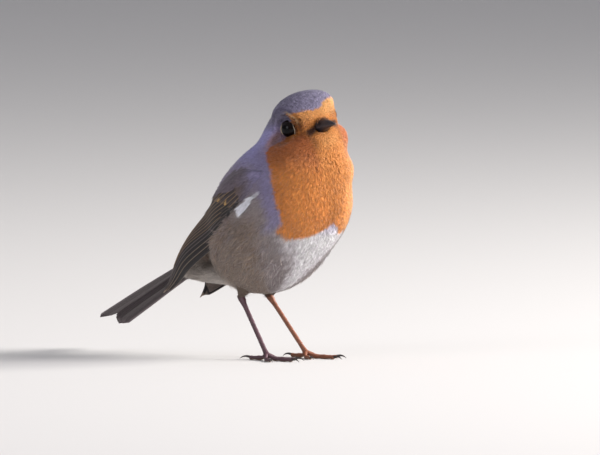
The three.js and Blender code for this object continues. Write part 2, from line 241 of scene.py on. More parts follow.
def thigh_line(leg):
    """The thigh's top and low ends."""
    heel = heel_of(leg)
    top = at(LEGS[leg][0] * (HEEL_SIDE + 2.6), HEEL_FORWARD + 5.5, HEEL_UP + 12)
    return top, lerp(heel, top, 0.1)


def thigh_room(p, leg):
    """How far places are outside one thigh."""
    top, low = thigh_line(leg)
    along = low - top
    t = np.clip((p - top) @ along / (along @ along), 0, 1)
    return np.linalg.norm(p - top - t[:, None] * along, axis=1) - lerp(6.2, 1.8, t**0.8)


def legs_gap(p):
    """How far places are outside the nearer thigh."""
    return np.minimum(*[thigh_room(p, leg) for leg in LEGS])


def slope_of(form, p, step=0.05):
    """Which way is outwards, and how steeply the form grows there."""
    sides = [form(p + np.eye(3)[i] * step) - form(p - np.eye(3)[i] * step) for i in range(3)]
    return np.stack(sides, axis=-1) / (2 * step)


def coat_depth(p):
    """How far the skin lies inside the plumage's form: least round the bill and on the lower legs."""
    face = to_head(p)
    from_bill = np.linalg.norm(face - [0, 8.5, -1.5], axis=1)
    depth = lerp(0.15, 1.6, smoothstep(from_bill, 3, 30))
    low = smoothstep(p[:, 2], 30, 25) * smoothstep(legs_gap(p), 3, 0)
    return lerp(depth, 0.45, low)


def sink(p, level, form, rounds=4):
    """Moves places along the form's slope until they lie at that level."""
    for _ in range(rounds):
        slope = slope_of(form, p)
        off = form(p) - (level(p) if callable(level) else level)
        p = p - slope * (off / np.maximum((slope**2).sum(1), 0.05))[:, None]
    return p


# ---------------------------------------------------------------- helpers for making pieces
def only(*objects):
    """Only these objects are selected, and the first is active."""
    if bpy.context.object and bpy.context.object.mode != "OBJECT":
        bpy.ops.object.mode_set(mode="OBJECT")
    bpy.ops.object.select_all(action="DESELECT")
    for piece in objects:
        piece.select_set(True)
    bpy.context.view_layer.objects.active = objects[0]


def places(piece):
    """The corners of a piece's mesh."""
    flat = np.empty(len(piece.data.vertices) * 3)
    piece.data.vertices.foreach_get("co", flat)
    return flat.reshape(-1, 3)


def put(piece, p):
    """Moves the corners of a piece's mesh to these places."""
    piece.data.vertices.foreach_set("co", np.ascontiguousarray(p, dtype=np.float32).ravel())
    piece.data.update()


def smooth(piece):
    """Smooth shading over the whole piece."""
    piece.data.polygons.foreach_set("use_smooth", np.ones(len(piece.data.polygons), bool))


def apply(piece, kind, **values):
    """Adds one modifier with these values and applies it."""
    only(piece)
    modifier = piece.modifiers.new(kind.lower(), kind)
    for key, value in values.items():
        setattr(modifier, key, value)
    bpy.ops.object.modifier_apply(modifier=modifier.name)


def outwards(piece):
    """Joins corners that coincide and turns all faces outwards."""
    only(piece)
    bpy.ops.object.mode_set(mode="EDIT")
    bpy.ops.mesh.select_all(action="SELECT")
    bpy.ops.mesh.remove_doubles(threshold=1e-6)
    bpy.ops.mesh.normals_make_consistent(inside=False)
    bpy.ops.object.mode_set(mode="OBJECT")


def select_edges(piece, wanted):
    """Selects the edges whose two ends a and b pass wanted(a, b), and no others."""
    for edge in piece.data.edges:
        a, b = (piece.data.vertices[i].co for i in edge.vertices)
        edge.select = wanted(a, b)


def runs_along(a, b):
    """True for an edge that runs from one end of a bar of length 1 to the other."""
    return abs(a.z - b.z) > 0.5


def rod(name, sides, rings):
    """A round bar with many rings, radius 1 and length 1, to be shaped."""
    bpy.ops.object.select_all(action="DESELECT")
    bpy.ops.mesh.primitive_cylinder_add(vertices=sides, radius=1, depth=1, end_fill_type="TRIFAN")
    piece = bpy.context.object
    piece.name = name
    bpy.ops.object.mode_set(mode="EDIT")
    bpy.ops.mesh.select_mode(type="EDGE")
    bpy.ops.mesh.select_all(action="DESELECT")
    bpy.ops.object.mode_set(mode="OBJECT")
    select_edges(piece, runs_along)
    bpy.ops.object.mode_set(mode="EDIT")
    bpy.ops.mesh.subdivide(number_cuts=rings - 1)
    bpy.ops.mesh.select_mode(type="VERT")
    bpy.ops.object.mode_set(mode="OBJECT")
    return piece


PLUME_BARBS = 6


def barb_blank():
    """A slim spike with three sides, widest a little below its middle."""
    bpy.ops.mesh.primitive_cone_add(vertices=3, radius1=1, radius2=0, depth=1, end_fill_type="NOTHING")
    piece = bpy.context.object
    select_edges(piece, runs_along)
    bpy.ops.object.mode_set(mode="EDIT")
    bpy.ops.mesh.select_mode(type="EDGE")
    bpy.ops.mesh.subdivide(number_cuts=1)
    bpy.ops.object.mode_set(mode="OBJECT")
    p = places(piece)
    t = p[:, 2] + 0.5
    around = np.arctan2(p[:, 1], p[:, 0])
    half = np.interp(t, [0, 0.45, 1], [0.7, 1.0, 0.0])
    return piece, np.stack([np.cos(around) * half, t, np.sin(around) * half * 0.5], axis=-1)


def plume_blank():
    """A soft feather: barbs that spread like a fan from the root and end raggedly."""
    bpy.ops.mesh.primitive_grid_add(x_subdivisions=PLUME_BARBS, y_subdivisions=2, size=2)
    piece = bpy.context.object
    select_edges(piece, lambda a, b: abs(a.x - b.x) < 0.01 and abs(a.x) < 0.99)
    bpy.ops.object.mode_set(mode="EDIT")
    bpy.ops.mesh.select_mode(type="EDGE")
    bpy.ops.mesh.edge_split()
    bpy.ops.object.mode_set(mode="OBJECT")
    p = places(piece)
    middle = np.zeros(len(p))
    for face in piece.data.polygons:
        for corner in face.vertices:
            middle[corner] = face.center.x
    t = (p[:, 1] + 1) / 2
    fan = middle * (0.22 + 0.78 * t**0.8)
    half = np.interp(t, [0, 0.5, 1], [0.16, 0.19, 0.0])
    across = fan + np.sign(p[:, 0] - middle) * half
    ragged = 1 - 0.22 * middle**2 - 0.1 * (np.round(middle * PLUME_BARBS / 2 + 0.5) % 2)
    put(piece, np.stack([across, t * ragged, -0.3 * across**2], axis=-1))
    only(piece)
    bpy.ops.object.mode_set(mode="EDIT")
    bpy.ops.mesh.select_all(action="SELECT")
    bpy.ops.mesh.remove_doubles(threshold=1e-5)
    bpy.ops.object.mode_set(mode="OBJECT")
    return piece, places(piece)


def flight_blank():
    """A flat grid for a flight feather, shaped when it is laid."""
    bpy.ops.mesh.primitive_grid_add(x_subdivisions=8, y_subdivisions=26, size=2)
    piece = bpy.context.object
    p = places(piece)
    return piece, np.stack([p[:, 0], (p[:, 1] + 1) / 2, np.zeros(len(p))], axis=-1)


def blank(make):
    """The corners and faces of a small thing that is repeated. Corners are (across, along, above):
    across and above in half widths, along from root to tip."""
    bpy.ops.object.select_all(action="DESELECT")
    piece, corners = make()
    faces = [list(face.vertices) for face in piece.data.polygons]
    bpy.data.objects.remove(piece)
    return corners, faces


def mesh_of(name, corners, faces, tints, patches, map_name="OFBake"):
    """One joined mesh of many copies: corners is (copies, n, 3) in the bird's frame, in mm, and
    tints and patches give a colour and a place on the map for each corner."""
    count, n = corners.shape[:2]
    sizes = np.array([len(face) for face in faces])
    loop = np.concatenate([np.array(face) for face in faces])
    loops = (loop[None, :] + n * np.arange(count)[:, None]).ravel()
    totals = np.tile(sizes, count)
    starts = np.concatenate([[0], np.cumsum(totals)[:-1]])
    mesh = bpy.data.meshes.new(name)
    mesh.vertices.add(count * n)
    mesh.vertices.foreach_set("co", to_row(corners.reshape(-1, 3)).astype(np.float32).ravel())
    mesh.loops.add(len(loops))
    mesh.loops.foreach_set("vertex_index", loops.astype(np.int32))
    mesh.polygons.add(len(totals))
    mesh.polygons.foreach_set("loop_start", starts.astype(np.int32))
    mesh.polygons.foreach_set("use_smooth", np.ones(len(totals), bool))
    tint(mesh, tints.reshape(-1, 3))
    layer = mesh.uv_layers.new(name=map_name)
    uv = patches.reshape(-1, 2)[loops]
    layer.data.foreach_set("uv", uv.astype(np.float32).ravel())
    mesh.update()
    mesh.validate()
    piece = bpy.data.objects.new(name, mesh)
    bpy.context.scene.collection.objects.link(piece)
    return piece


def place_on_body(piece, slot, *nodes):
    """The finished piece goes with the bird's one body and takes the place of these solids."""
    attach(piece, "root")
    if nodes:
        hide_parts(*nodes)


# ---------------------------------------------------------------- colours of the plumage
def paint(red, green, blue):
    """A colour as the eye reads it, 0 to 255, turned into the renderer's own linear values."""
    c = np.array([red, green, blue]) / 255
    return np.where(c <= 0.04045, c / 12.92, ((c + 0.055) / 1.055) ** 2.4)


ORANGE = paint(228, 147, 73)
# DEEP_ORANGE: the bib's deeper orange near its edge, and painted shade on the cheek below the eye
DEEP_ORANGE = paint(160, 82, 44)
# PALE_ORANGE: the paler orange of forehead and chin, and painted light on the left forehead and breast
PALE_ORANGE = paint(248, 196, 128)
CROWN = paint(132, 126, 150)
NAPE = paint(173, 168, 218)
BLUE_GREY = paint(158, 150, 188)
MANTLE = paint(156, 145, 164)
BACK_BROWN = paint(132, 121, 108)
RUMP = paint(104, 92, 74)
FLANK = paint(143, 125, 113)
SIDE_GREY = paint(162, 151, 152)
BELLY = paint(254, 250, 255)
# VENT: the vent's colour darkened as painted shade; PALE_VENT: its own paler colour low down, partly painted
# light from the floor
VENT = paint(132, 119, 110)
PALE_VENT = paint(206, 197, 190)
EAR = paint(196, 136, 94)
BROW = paint(228, 200, 156)
LORE = paint(118, 70, 42)
GAPE = paint(66, 40, 32)
WHITE_TUFT = paint(246, 246, 252)
DARK_LID = paint(66, 52, 48)
THIGH = paint(120, 106, 96)


def noise(p, size):
    """A smooth, seeded wander between -1 and 1 over places, about size mm across."""
    q = p / size
    wave = np.zeros(len(p))
    for turn, shift in (((1.3, 0.7, 0.9), 0.0), ((-0.8, 1.5, 0.6), 2.1), ((0.5, -0.9, 1.6), 4.4)):
        inner = 1.7 * np.sin(q @ np.array(turn[::-1]) + shift)
        wave += np.sin(q @ np.array(turn) * 2 + shift + inner)
    return wave / 3


BREAST_MIDDLE = 8  # how far forward the line stands that angles round the breast are taken about
BIB_SIDES = [  # height, and degrees from straight ahead of the bib's edge there
    [45, 41], [50, 40], [53, 36], [56, 37.5], [60, 40.3],
    [65, 41.7], [70, 44], [75, 46.5], [79, 49], [84, 52],
]
BIB_BOTTOM = [  # degrees from straight ahead, right to the positive, and the edge's height there
    [-60, 50], [-38, 49.5], [-28, 49], [-19, 48.6], [-8, 52.2], [0, 50.6],
    [6, 48.9], [13, 47.6], [21, 47], [30, 46.8], [38, 49], [60, 50],
]
BIB_BACK = [  # height and forward place of the orange's rear edge on the head, in its own frame
    [-14, -2.5], [-7, -3.0], [-5, -2.8], [-3.5, -1.1], [-1, 1.8], [2, 2.6], [4, 2.2], [6, 1.9], [9, 1.9],
]
WHITE_BELLY = [  # height, and degrees from straight ahead of the white belly's edge there
    [25, 8], [29, 10], [33, 13], [36, 15.5], [40, 20], [44, 27], [50, 28], [56, 28],
]


def bib_edge(p, face):
    """How far places are inside the orange bib's edge, in mm."""
    left, forward, up = p[:, 0], -p[:, 1], p[:, 2]
    angle = np.degrees(np.arctan2(np.abs(left), forward - BREAST_MIDDLE))
    signed = np.degrees(np.arctan2(-left, forward - BREAST_MIDDLE))
    reach = np.hypot(left, forward - BREAST_MIDDLE)
    round_side = np.radians(eased(BIB_SIDES, up) - angle) * reach
    body = np.minimum(round_side, up - eased(BIB_BOTTOM, signed))
    f, u = face[:, 1], face[:, 2]
    back = eased(BIB_BACK, u)
    beside = np.abs(face[:, 0])
    cap = 4.6 + smoothstep(beside, 1.5, 4.5) + 1.4 * smoothstep(beside, 9.5, 12.5)
    cap = cap + 1.2 * smoothstep(face[:, 0], 0.3, 3.5)
    head = np.minimum(f - back, cap - u)
    return lerp(body, head, smoothstep(up, 76.5, 81.5))


TUFT_TOP, TUFT_LOW = at(-22.6, 25, 65), at(-24.7, 15, 55.6)  # the white tuft by the wing


def white_tuft(p):
    """1 inside the spindle of white feathers in front of the right wing."""
    along = TUFT_LOW - TUFT_TOP
    t = (p - TUFT_TOP) @ along / (along @ along)
    away = np.linalg.norm(p - TUFT_TOP - np.clip(t, 0, 1)[:, None] * along, axis=1)
    return smoothstep(away, lerp(0.6, 2.1, np.clip(t, 0, 1)), 0.2) * smoothstep(t, 1.1, 0.95)


def mix(base, colour, amount):
    """The base colours moved towards another colour by an amount from 0 to 1 at each place."""
    return base + (colour - base) * np.clip(amount, 0, 1)[:, None]


def ground_colour(p, face, inside):
    """Back, sides, belly and vent, and the blue-grey band round the bib; the vent darkened as painted
    shade, its lowest strip paler, partly as painted light from the floor.
    """
    u = face[:, 2]
    left, forward, up = p[:, 0], -p[:, 1], p[:, 2]
    angle = np.degrees(np.arctan2(np.abs(left), forward - BREAST_MIDDLE))
    colour = np.tile(MANTLE, (len(p), 1))
    colour = mix(colour, RUMP, smoothstep(up - 0.8 * forward, 62, 50) * smoothstep(forward, 2, -12))
    colour = mix(colour, NAPE, smoothstep(up, 70, 80))
    spine = smoothstep(np.abs(left), 10, 3) * smoothstep(forward, 16, 8)
    colour = mix(colour, BACK_BROWN, 0.8 * spine)
    colour = mix(colour, CROWN, smoothstep(u, -1, 4))
    under = smoothstep(angle, 95, 80) * smoothstep(up, 66, 60)
    under = np.maximum(under, smoothstep(up, 40, 34))
    colour = mix(colour, SIDE_GREY, under)
    buff = smoothstep(angle, 44, 66) * smoothstep(up, 60, 50)
    colour = mix(colour, FLANK, buff)
    white_edge = eased(WHITE_BELLY, up) + 5 * noise(p, 2.2) + 7 * noise(p * [1, 1, 0.3], 0.9)
    white = smoothstep(angle - white_edge, 17, -9) * smoothstep(up, 58, 54)
    colour = mix(colour, BELLY, white)
    # painted shade: the vent darkened, in the shadow between the flanks and the undertail
    colour = mix(colour, VENT, smoothstep(forward, -2, -12) * smoothstep(up, 38, 33))
    # the lowest strip paler: the undertail's own pale colour, partly painted light from the floor
    lowest = smoothstep(up + 0.35 * forward, 30, 25.5) * smoothstep(forward, 4, -8)
    colour = mix(colour, PALE_VENT, 0.8 * lowest)
    band = smoothstep(inside, -7.5, -3) * smoothstep(up, 47, 54) * smoothstep(u, 5, -2)
    return mix(colour, BLUE_GREY, band * 0.9)


def bib_colour(p, face, inside):
    """The orange of breast and face: deeper at its edge, deeper below the eye as painted shade, paler by the
    forehead (partly painted light) and on the chin, paler over the left breast as painted light, and darker
    at the face's front as painted shade."""
    side = np.abs(face[:, 0])
    f, u = face[:, 1], face[:, 2]
    left, up = p[:, 0], p[:, 2]
    orange = np.tile(ORANGE, (len(p), 1))
    # painted shade: deeper orange on the cheek below the eye, which turns away from the light; the second,
    # weaker term deepens the orange near the bib's edge
    deep = smoothstep(side, 5.5, 9) * smoothstep(up, 66, 80) * smoothstep(u, -2, -4)
    deep = np.maximum(deep, 0.25 * smoothstep(inside, 6, 0) * smoothstep(up, 50, 60) * smoothstep(u, 4, -2))
    orange = mix(orange, DEEP_ORANGE, 0.8 * deep)
    # paler by the forehead, partly painted light, more so on the left side, which faces the light
    pale = smoothstep(f, 4.5, 8) * smoothstep(u, -1, 3) * lerp(0.3, 0.6, smoothstep(face[:, 0], -2, 5))
    chin = 0.3 * smoothstep(f, 4, 8) * np.exp(-((u + 7.5) ** 2) / 9) * smoothstep(side, 6, 2.5)
    pale = np.maximum(pale, chin)
    orange = mix(orange, PALE_ORANGE, pale)
    # painted light: paler over the left side of the breast, the side that faces the light
    painted_light_left = (0.06 + 0.3 * smoothstep(left, 3, 17)) * smoothstep(up, 86, 78)
    orange = mix(orange, PALE_ORANGE, painted_light_left)
    # painted shade: darker at the face's front, round the bill and on the chin, where the bill and the
    # turned face keep the light off
    return orange * (1 - 0.2 * smoothstep(f, 5, 7.5) * smoothstep(side, 9, 5))[:, None]


def face_marks(colour, face):
    """Lore, cheek, pale brow, the dark line over the eye, the gape streak behind the bill with painted
    shade under its corner, and painted shade in the crease between cheek and throat.
    """
    side = np.abs(face[:, 0])
    f, u = face[:, 1], face[:, 2]
    lore = np.exp(-((f - 7.0) ** 2 / 6 + (u - 0.4) ** 2 / 12)) * smoothstep(side, 3, 6)
    colour = mix(colour, LORE, 0.85 * lore)
    cheek = np.exp(-((f - 0.8) ** 2 / 9 + (u + 4.0) ** 2 / 0.9)) * smoothstep(side, 8, 10)
    colour = mix(colour, EAR, 0.3 * cheek)
    from_eye = np.hypot(f - EYE_AHEAD, u)
    round_eye = np.degrees(np.arctan2(u, f - EYE_AHEAD))
    beside_eye = smoothstep(side, 6.5, 8.5)
    arc = smoothstep(round_eye, 2, 24) * smoothstep(round_eye, 96, 66)
    brow = smoothstep(np.abs(from_eye - 6.8), 0.8, 0.2) * arc * beside_eye
    colour = mix(colour, BROW, 0.6 * brow)
    ring = smoothstep(from_eye, 5.0, 4.3) * beside_eye
    colour = mix(colour, DARK_LID, 0.35 * ring)
    lid = smoothstep(np.abs(from_eye - 5.45), 0.75, 0.35) * beside_eye
    lid = lid * smoothstep(round_eye, 0, 20) * smoothstep(round_eye, 120, 90)
    colour = mix(colour, DARK_LID, 0.85 * lid)
    in_front = smoothstep(f, 4.5, 6.5)
    # the gape's dark line painted on the feathers, with painted shade under its corner
    streak = smoothstep(np.abs(u + 1.4 + 0.22 * side), 1.6, 0.5) * smoothstep(side, 8.6, 6.4) * in_front
    colour = mix(colour, GAPE, 0.95 * streak)
    # painted shade in the crease between cheek and throat
    fold = np.exp(-((side - 6.4) / 1.3) ** 2) * smoothstep(u, -3, -4.5) * smoothstep(u, -12, -7) * in_front
    return mix(colour, GAPE, 0.4 * fold)


def dress(p):
    """The plumage's colour at each place."""
    face = to_head(p)
    f, u = face[:, 1], face[:, 2]
    inside = bib_edge(p, face) + 0.5 * noise(p, 1.6)
    colour = ground_colour(p, face, inside)
    ear = np.exp(-((f + 3.4) ** 2 / 10 + (u + 2.6) ** 2 / 8)) * smoothstep(np.abs(face[:, 0]), 6, 10)
    colour = mix(colour, EAR, 0.6 * ear)
    colour = mix(colour, bib_colour(p, face, inside), smoothstep(inside, -0.5, 0.5))
    colour = face_marks(colour, face)
    colour = mix(colour, WHITE_TUFT, white_tuft(p))
    return mix(colour, THIGH, smoothstep(p[:, 2], 29, 26) * smoothstep(legs_gap(p), 2, 0.5))


# ---------------------------------------------------------------- the bill's form
BILL_ROOT, BILL_TIP = 4.4, 18.2
GAPE_UP, BILL_RISE = -3.3, 1.3
BILL_WIDTH = [[0, 4.2], [0.18, 3.6], [0.38, 2.7], [0.62, 1.65], [0.85, 0.85], [1, 0.25]]
CULMEN = [[0, 3.6], [0.3, 3.4], [0.62, 2.2], [0.85, 1.1], [1, 0.25]]
GONYS = [[0, 3.1], [0.2, 2.9], [0.4, 2.2], [0.65, 1.35], [0.85, 0.7], [1, 0.25]]
BILL_HORN = paint(30, 26, 33)
BILL_PALE = paint(72, 58, 58)
BILL_BASE = 1.05  # how far the feathering's edge slants back per mm down to the gape
BILL_CHIN = 1.2  # and how far it comes forward again per mm below it


def bill_line(t):
    """The gape line's height along the bill, in the head's frame."""
    return GAPE_UP + 0.4 * np.sin(np.pi * t) + BILL_RISE * t


def along_bill(h):
    """How far along the bill, from 0 at its root to 1 at its tip, places in the head's frame are."""
    return np.clip((h[:, 1] - BILL_ROOT) / (BILL_TIP - BILL_ROOT), 0, 1)


def bill_room(p, grow=0.0):
    """How far places are outside the bill, where it stands clear of the feathering."""
    h = to_head(p)
    t = along_bill(h)
    line = bill_line(t)
    deep = np.where(h[:, 2] > line, eased(CULMEN, t), eased(GONYS, t)) + grow
    wide = eased(BILL_WIDTH, t) + grow
    r = np.sqrt((h[:, 0] / wide) ** 2 + ((h[:, 2] - line) / deep) ** 2)
    beside = (r - 1) * np.minimum(wide, deep)
    edge = 9.5 + BILL_BASE * np.minimum(h[:, 2] - 0.6, 0) + BILL_CHIN * np.maximum(-3.4 - h[:, 2], 0)
    return np.maximum(beside, edge - h[:, 1])


def feathering(p):
    """The plumage's form with room for the bill."""
    return -blend_of(-plumage(p), bill_room(p, -0.25), 0.5)


def with_thighs(p):
    """The plumage's form together with the feathered thighs."""
    form = feathering(p)
    for leg in LEGS:
        form = blend_of(form, thigh_room(p, leg), 2.5)
    return form


# ---------------------------------------------------------------- finishes
def new_finish(name, roughness, specular):
    """A new finish, its nodes and its shader."""
    finish = bpy.data.materials.new(name)
    finish.use_nodes = True
    shader = finish.node_tree.nodes["Principled BSDF"]
    shader.inputs["Roughness"].default_value = roughness
    shader.inputs["Specular IOR Level"].default_value = specular
    return finish, finish.node_tree, shader


def node(tree, kind, **values):
    """Adds one node; values are its inputs or its settings."""
    made = tree.nodes.new(kind)
    for key, value in values.items():
        if key in made.inputs:
            made.inputs[key].default_value = value
        else:
            setattr(made, key, value)
    return made


def tint_of(tree):
    """The colour written on the mesh's corners."""
    return node(tree, "ShaderNodeAttribute", attribute_name="tint").outputs["Color"]


def grain_group():
    """Fine mottling: a colour varied a little by grain of that size, and the grain's height."""
    group = bpy.data.node_groups.new("plumage_grain", "ShaderNodeTree")
    group.interface.new_socket("Color", in_out="INPUT", socket_type="NodeSocketColor")
    size = group.interface.new_socket("Grain per metre", in_out="INPUT", socket_type="NodeSocketFloat")
    amount = group.interface.new_socket("Amount", in_out="INPUT", socket_type="NodeSocketFloat")
    size.default_value = 1500
    amount.default_value = 0.2
    group.interface.new_socket("Color", in_out="OUTPUT", socket_type="NodeSocketColor")
    group.interface.new_socket("Height", in_out="OUTPUT", socket_type="NodeSocketFloat")
    given = group.nodes.new("NodeGroupInput")
    result = group.nodes.new("NodeGroupOutput")
    place = group.nodes.new("ShaderNodeTexCoord")
    speckle = node(group, "ShaderNodeTexNoise", Detail=4.0, Roughness=0.65)
    group.links.new(place.outputs["Object"], speckle.inputs["Vector"])
    group.links.new(given.outputs["Grain per metre"], speckle.inputs["Scale"])
    spread = node(group, "ShaderNodeMapRange")
    spread.inputs["From Min"].default_value = 0.3
    spread.inputs["From Max"].default_value = 0.7
    spread.inputs["To Min"].default_value = -1
    spread.inputs["To Max"].default_value = 1
    group.links.new(speckle.outputs["Fac"], spread.inputs["Value"])
    scaled = node(group, "ShaderNodeMath", operation="MULTIPLY_ADD")
    group.links.new(spread.outputs["Result"], scaled.inputs[0])
    group.links.new(given.outputs["Amount"], scaled.inputs[1])
    scaled.inputs[2].default_value = 1
    shaded = node(group, "ShaderNodeVectorMath", operation="SCALE")
    group.links.new(given.outputs["Color"], shaded.inputs[0])
    group.links.new(scaled.outputs["Value"], shaded.inputs["Scale"])
    group.links.new(shaded.outputs["Vector"], result.inputs["Color"])
    group.links.new(speckle.outputs["Fac"], result.inputs["Height"])
    return group


grain = grain_group()


def mottled(tree, shader, per_metre, amount):
    """Gives the shader the piece's own colour with fine grain in it."""
    mottle = node(tree, "ShaderNodeGroup")
    mottle.node_tree = grain
    mottle.inputs["Grain per metre"].default_value = per_metre
    mottle.inputs["Amount"].default_value = amount
    tree.links.new(tint_of(tree), mottle.inputs["Color"])
    tree.links.new(mottle.outputs["Color"], shader.inputs["Base Color"])
    return mottle


def raised(tree, shader, height, strength, reach):
    """Shows a height as a slight relief, reach metres deep."""
    relief = node(tree, "ShaderNodeBump", Strength=strength, Distance=reach)
    tree.links.new(height, relief.inputs["Height"])
    tree.links.new(relief.outputs["Normal"], shader.inputs["Normal"])


def grained(tree, shader, per_metre, amount, bump, reach=0.0002):
    """The piece's own colour with fine grain, and the grain as a slight relief."""
    mottle = mottled(tree, shader, per_metre, amount)
    raised(tree, shader, mottle.outputs["Height"], bump, reach)


def coat_finish():
    """Soft body feathers, with a little sheen."""
    finish, tree, shader = new_finish("soft_feather", 0.85, 0.12)
    shader.inputs["Sheen Weight"].default_value = 0.26
    shader.inputs["Sheen Roughness"].default_value = 0.5
    grained(tree, shader, 900, 0.16, 0.15)
    return finish


def skin_finish():
    """Down and skin under the coat."""
    finish, tree, shader = new_finish("down_and_skin", 0.9, 0.1)
    grained(tree, shader, 2500, 0.35, 0.6, 0.0004)
    return finish


def flight_finish():
    """Stiff feather web: barbs slant out from the shaft."""
    finish, tree, shader = new_finish("flight_feather", 0.55, 0.3)
    shader.inputs["Sheen Weight"].default_value = 0.1
    where = node(tree, "ShaderNodeUVMap", uv_map="web")
    parts = node(tree, "ShaderNodeSeparateXYZ")
    tree.links.new(where.outputs["UV"], parts.inputs["Vector"])
    out = node(tree, "ShaderNodeMath", operation="ABSOLUTE")
    centred = node(tree, "ShaderNodeMath", operation="SUBTRACT")
    centred.inputs[1].default_value = 0.5
    tree.links.new(parts.outputs["X"], centred.inputs[0])
    tree.links.new(centred.outputs["Value"], out.inputs[0])
    slanted = node(tree, "ShaderNodeMath", operation="MULTIPLY_ADD")
    slanted.inputs[1].default_value = -0.35
    tree.links.new(out.outputs["Value"], slanted.inputs[0])
    tree.links.new(parts.outputs["Y"], slanted.inputs[2])
    wave = node(tree, "ShaderNodeMath", operation="MULTIPLY")
    wave.inputs[1].default_value = 620  # how fine the barbs are
    tree.links.new(slanted.outputs["Value"], wave.inputs[0])
    barbs = node(tree, "ShaderNodeMath", operation="SINE")
    tree.links.new(wave.outputs["Value"], barbs.inputs[0])
    mottled(tree, shader, 700, 0.12)
    raised(tree, shader, barbs.outputs["Value"], 0.35, 0.00006)
    return finish


def horn_finish(name, roughness):
    """Bill and claws: hard, with a faint polish."""
    finish, tree, shader = new_finish(name, roughness, 0.5)
    shader.inputs["Coat Weight"].default_value = 0.25
    shader.inputs["Coat Roughness"].default_value = 0.3
    grained(tree, shader, 600, 0.25, 0.12)
    return finish


def leg_finish():
    """The scaled skin of shanks and toes."""
    finish, tree, shader = new_finish("scaled_skin", 0.5, 0.4)
    shader.inputs["Coat Weight"].default_value = 0.12
    shader.inputs["Coat Roughness"].default_value = 0.35
    grained(tree, shader, 1800, 0.22, 0.4, 0.00015)
    return finish


def eye_finish():
    """A wet, dark eyeball."""
    finish, tree, shader = new_finish("wet_eye", 0.05, 0.13)
    tree.links.new(tint_of(tree), shader.inputs["Base Color"])
    return finish


COAT = coat_finish()
SKIN = skin_finish()
FLIGHT = flight_finish()
BILL = horn_finish("bill_horn", 0.42)
CLAW = horn_finish("claw_horn", 0.35)
LEG = leg_finish()
EYE = eye_finish()
RIM = leg_finish()
RIM.name = "eyelid_rim"


def tint(mesh, colours):
    """Writes a colour for each corner of a mesh."""
    layer = mesh.color_attributes.new("tint", "FLOAT_COLOR", "POINT")
    full = np.concatenate([colours, np.ones((len(colours), 1))], axis=1)
    layer.data.foreach_set("color", full.astype(np.float32).ravel())


def complete(piece, colours, finish, slot, *nodes):
    """The last steps of a piece: its colours, its finish and its place on the body."""
    tint(piece.data, colours)
    smooth(piece)
    piece.data.materials.append(finish)
    place_on_body(piece, slot, *nodes)


# ---------------------------------------------------------------- skin
eye_axis = {}
eye_centre = {}
for name, side in SIDES.items():
    eye_centre[name] = in_head(side * EYE_SIDE, EYE_AHEAD, -EYE_BELOW)
    eye_axis[name] = unit(head_turn @ at(side, 0.28, 0.03))
OPENING = 3.5  # radius of the eye's opening between the lids
OVAL, OVAL_LEAN = 0.07, 100  # how oval the opening is, and which way its long axis leans


def eye_frame(name):
    """Sideways, upwards and outwards along the axis, as an eye has them."""
    axis = eye_axis[name]
    sideways = unit(np.cross(axis, [0, 0, 1.0]))
    return sideways, np.cross(sideways, axis), axis


def oval_at(around):
    """How much wider than its mean the eye's opening is at each angle."""
    return 1 + OVAL * np.cos(2 * (around - math.radians(OVAL_LEAN)))


def round_the_eye(p, name):
    """Places as seen from an eye's centre: how far along its axis, and how far beside it, with the
    opening's oval evened out."""
    sideways, upwards, axis = eye_frame(name)
    out = p - eye_centre[name]
    across = np.stack([out @ sideways, out @ upwards], axis=-1)
    around = np.arctan2(across[:, 1], across[:, 0] * np.sign(axis[0]))
    return out @ axis, np.linalg.norm(across, axis=1) / oval_at(around)


FLESH = ["trunk", "neck", "head", "thigh_left", "thigh_right"]
SKIN_SHADE = 0.62  # how dark the skin is under the feathers


def hold_round_the_eye(p, name):
    """Draws the skin in behind an eye's opening and raises a low lid round it."""
    out = p - eye_centre[name]
    reach = np.linalg.norm(out, axis=1)
    ahead, aside = round_the_eye(p, name)
    angle = np.degrees(np.arctan2(aside, ahead))
    opening = math.degrees(math.asin(OPENING / EYE_RADIUS))
    rim = EYE_RADIUS + 0.3 * np.exp(-(((angle - opening - 4) / 6) ** 2))
    rim = np.where(angle < opening, EYE_RADIUS - 0.7, rim)
    hold = smoothstep(angle, opening + 22, opening + 8)
    hold = hold * (reach < 9)
    return p + out / reach[:, None] * ((rim - reach) * hold)[:, None]


def make_skin():
    """One skin over trunk, neck, head and thighs, just inside the plumage's form."""
    copies = []
    for name in FLESH:
        copy = bpy.data.objects.new("skin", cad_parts[name].data.copy())
        bpy.context.scene.collection.objects.link(copy)
        copies.append(copy)
        outwards(copy)
        bpy.ops.object.mode_set(mode="EDIT")
        bpy.ops.mesh.select_all(action="SELECT")
        bpy.ops.transform.shrink_fatten(value=0.4 * MM)
        bpy.ops.object.mode_set(mode="OBJECT")
    only(*copies)
    bpy.ops.object.join()
    piece = bpy.context.object
    piece.name = "skin"
    piece.data.materials.clear()
    apply(piece, "REMESH", mode="VOXEL", voxel_size=0.55 * MM)
    p = places(piece) / MM - SHIFT
    p = sink(p, lambda q: -coat_depth(q), with_thighs, 5)
    put(piece, to_row(p))
    apply(piece, "SMOOTH", factor=0.5, iterations=3)
    p = sink(places(piece) / MM - SHIFT, lambda q: -coat_depth(q), with_thighs, 3)
    for name in eye_axis:
        p = hold_round_the_eye(p, name)
    put(piece, to_row(p))
    only(piece)
    bpy.ops.object.mode_set(mode="EDIT")
    bpy.ops.mesh.select_all(action="SELECT")
    bpy.ops.uv.smart_project(angle_limit=math.radians(66), island_margin=0.002)
    bpy.ops.object.mode_set(mode="OBJECT")
    piece.data.uv_layers[0].name = "OFBake"
    complete(piece, dress(p) * SKIN_SHADE, SKIN, "plumage_breast", *FLESH)
    return piece


skin = make_skin()


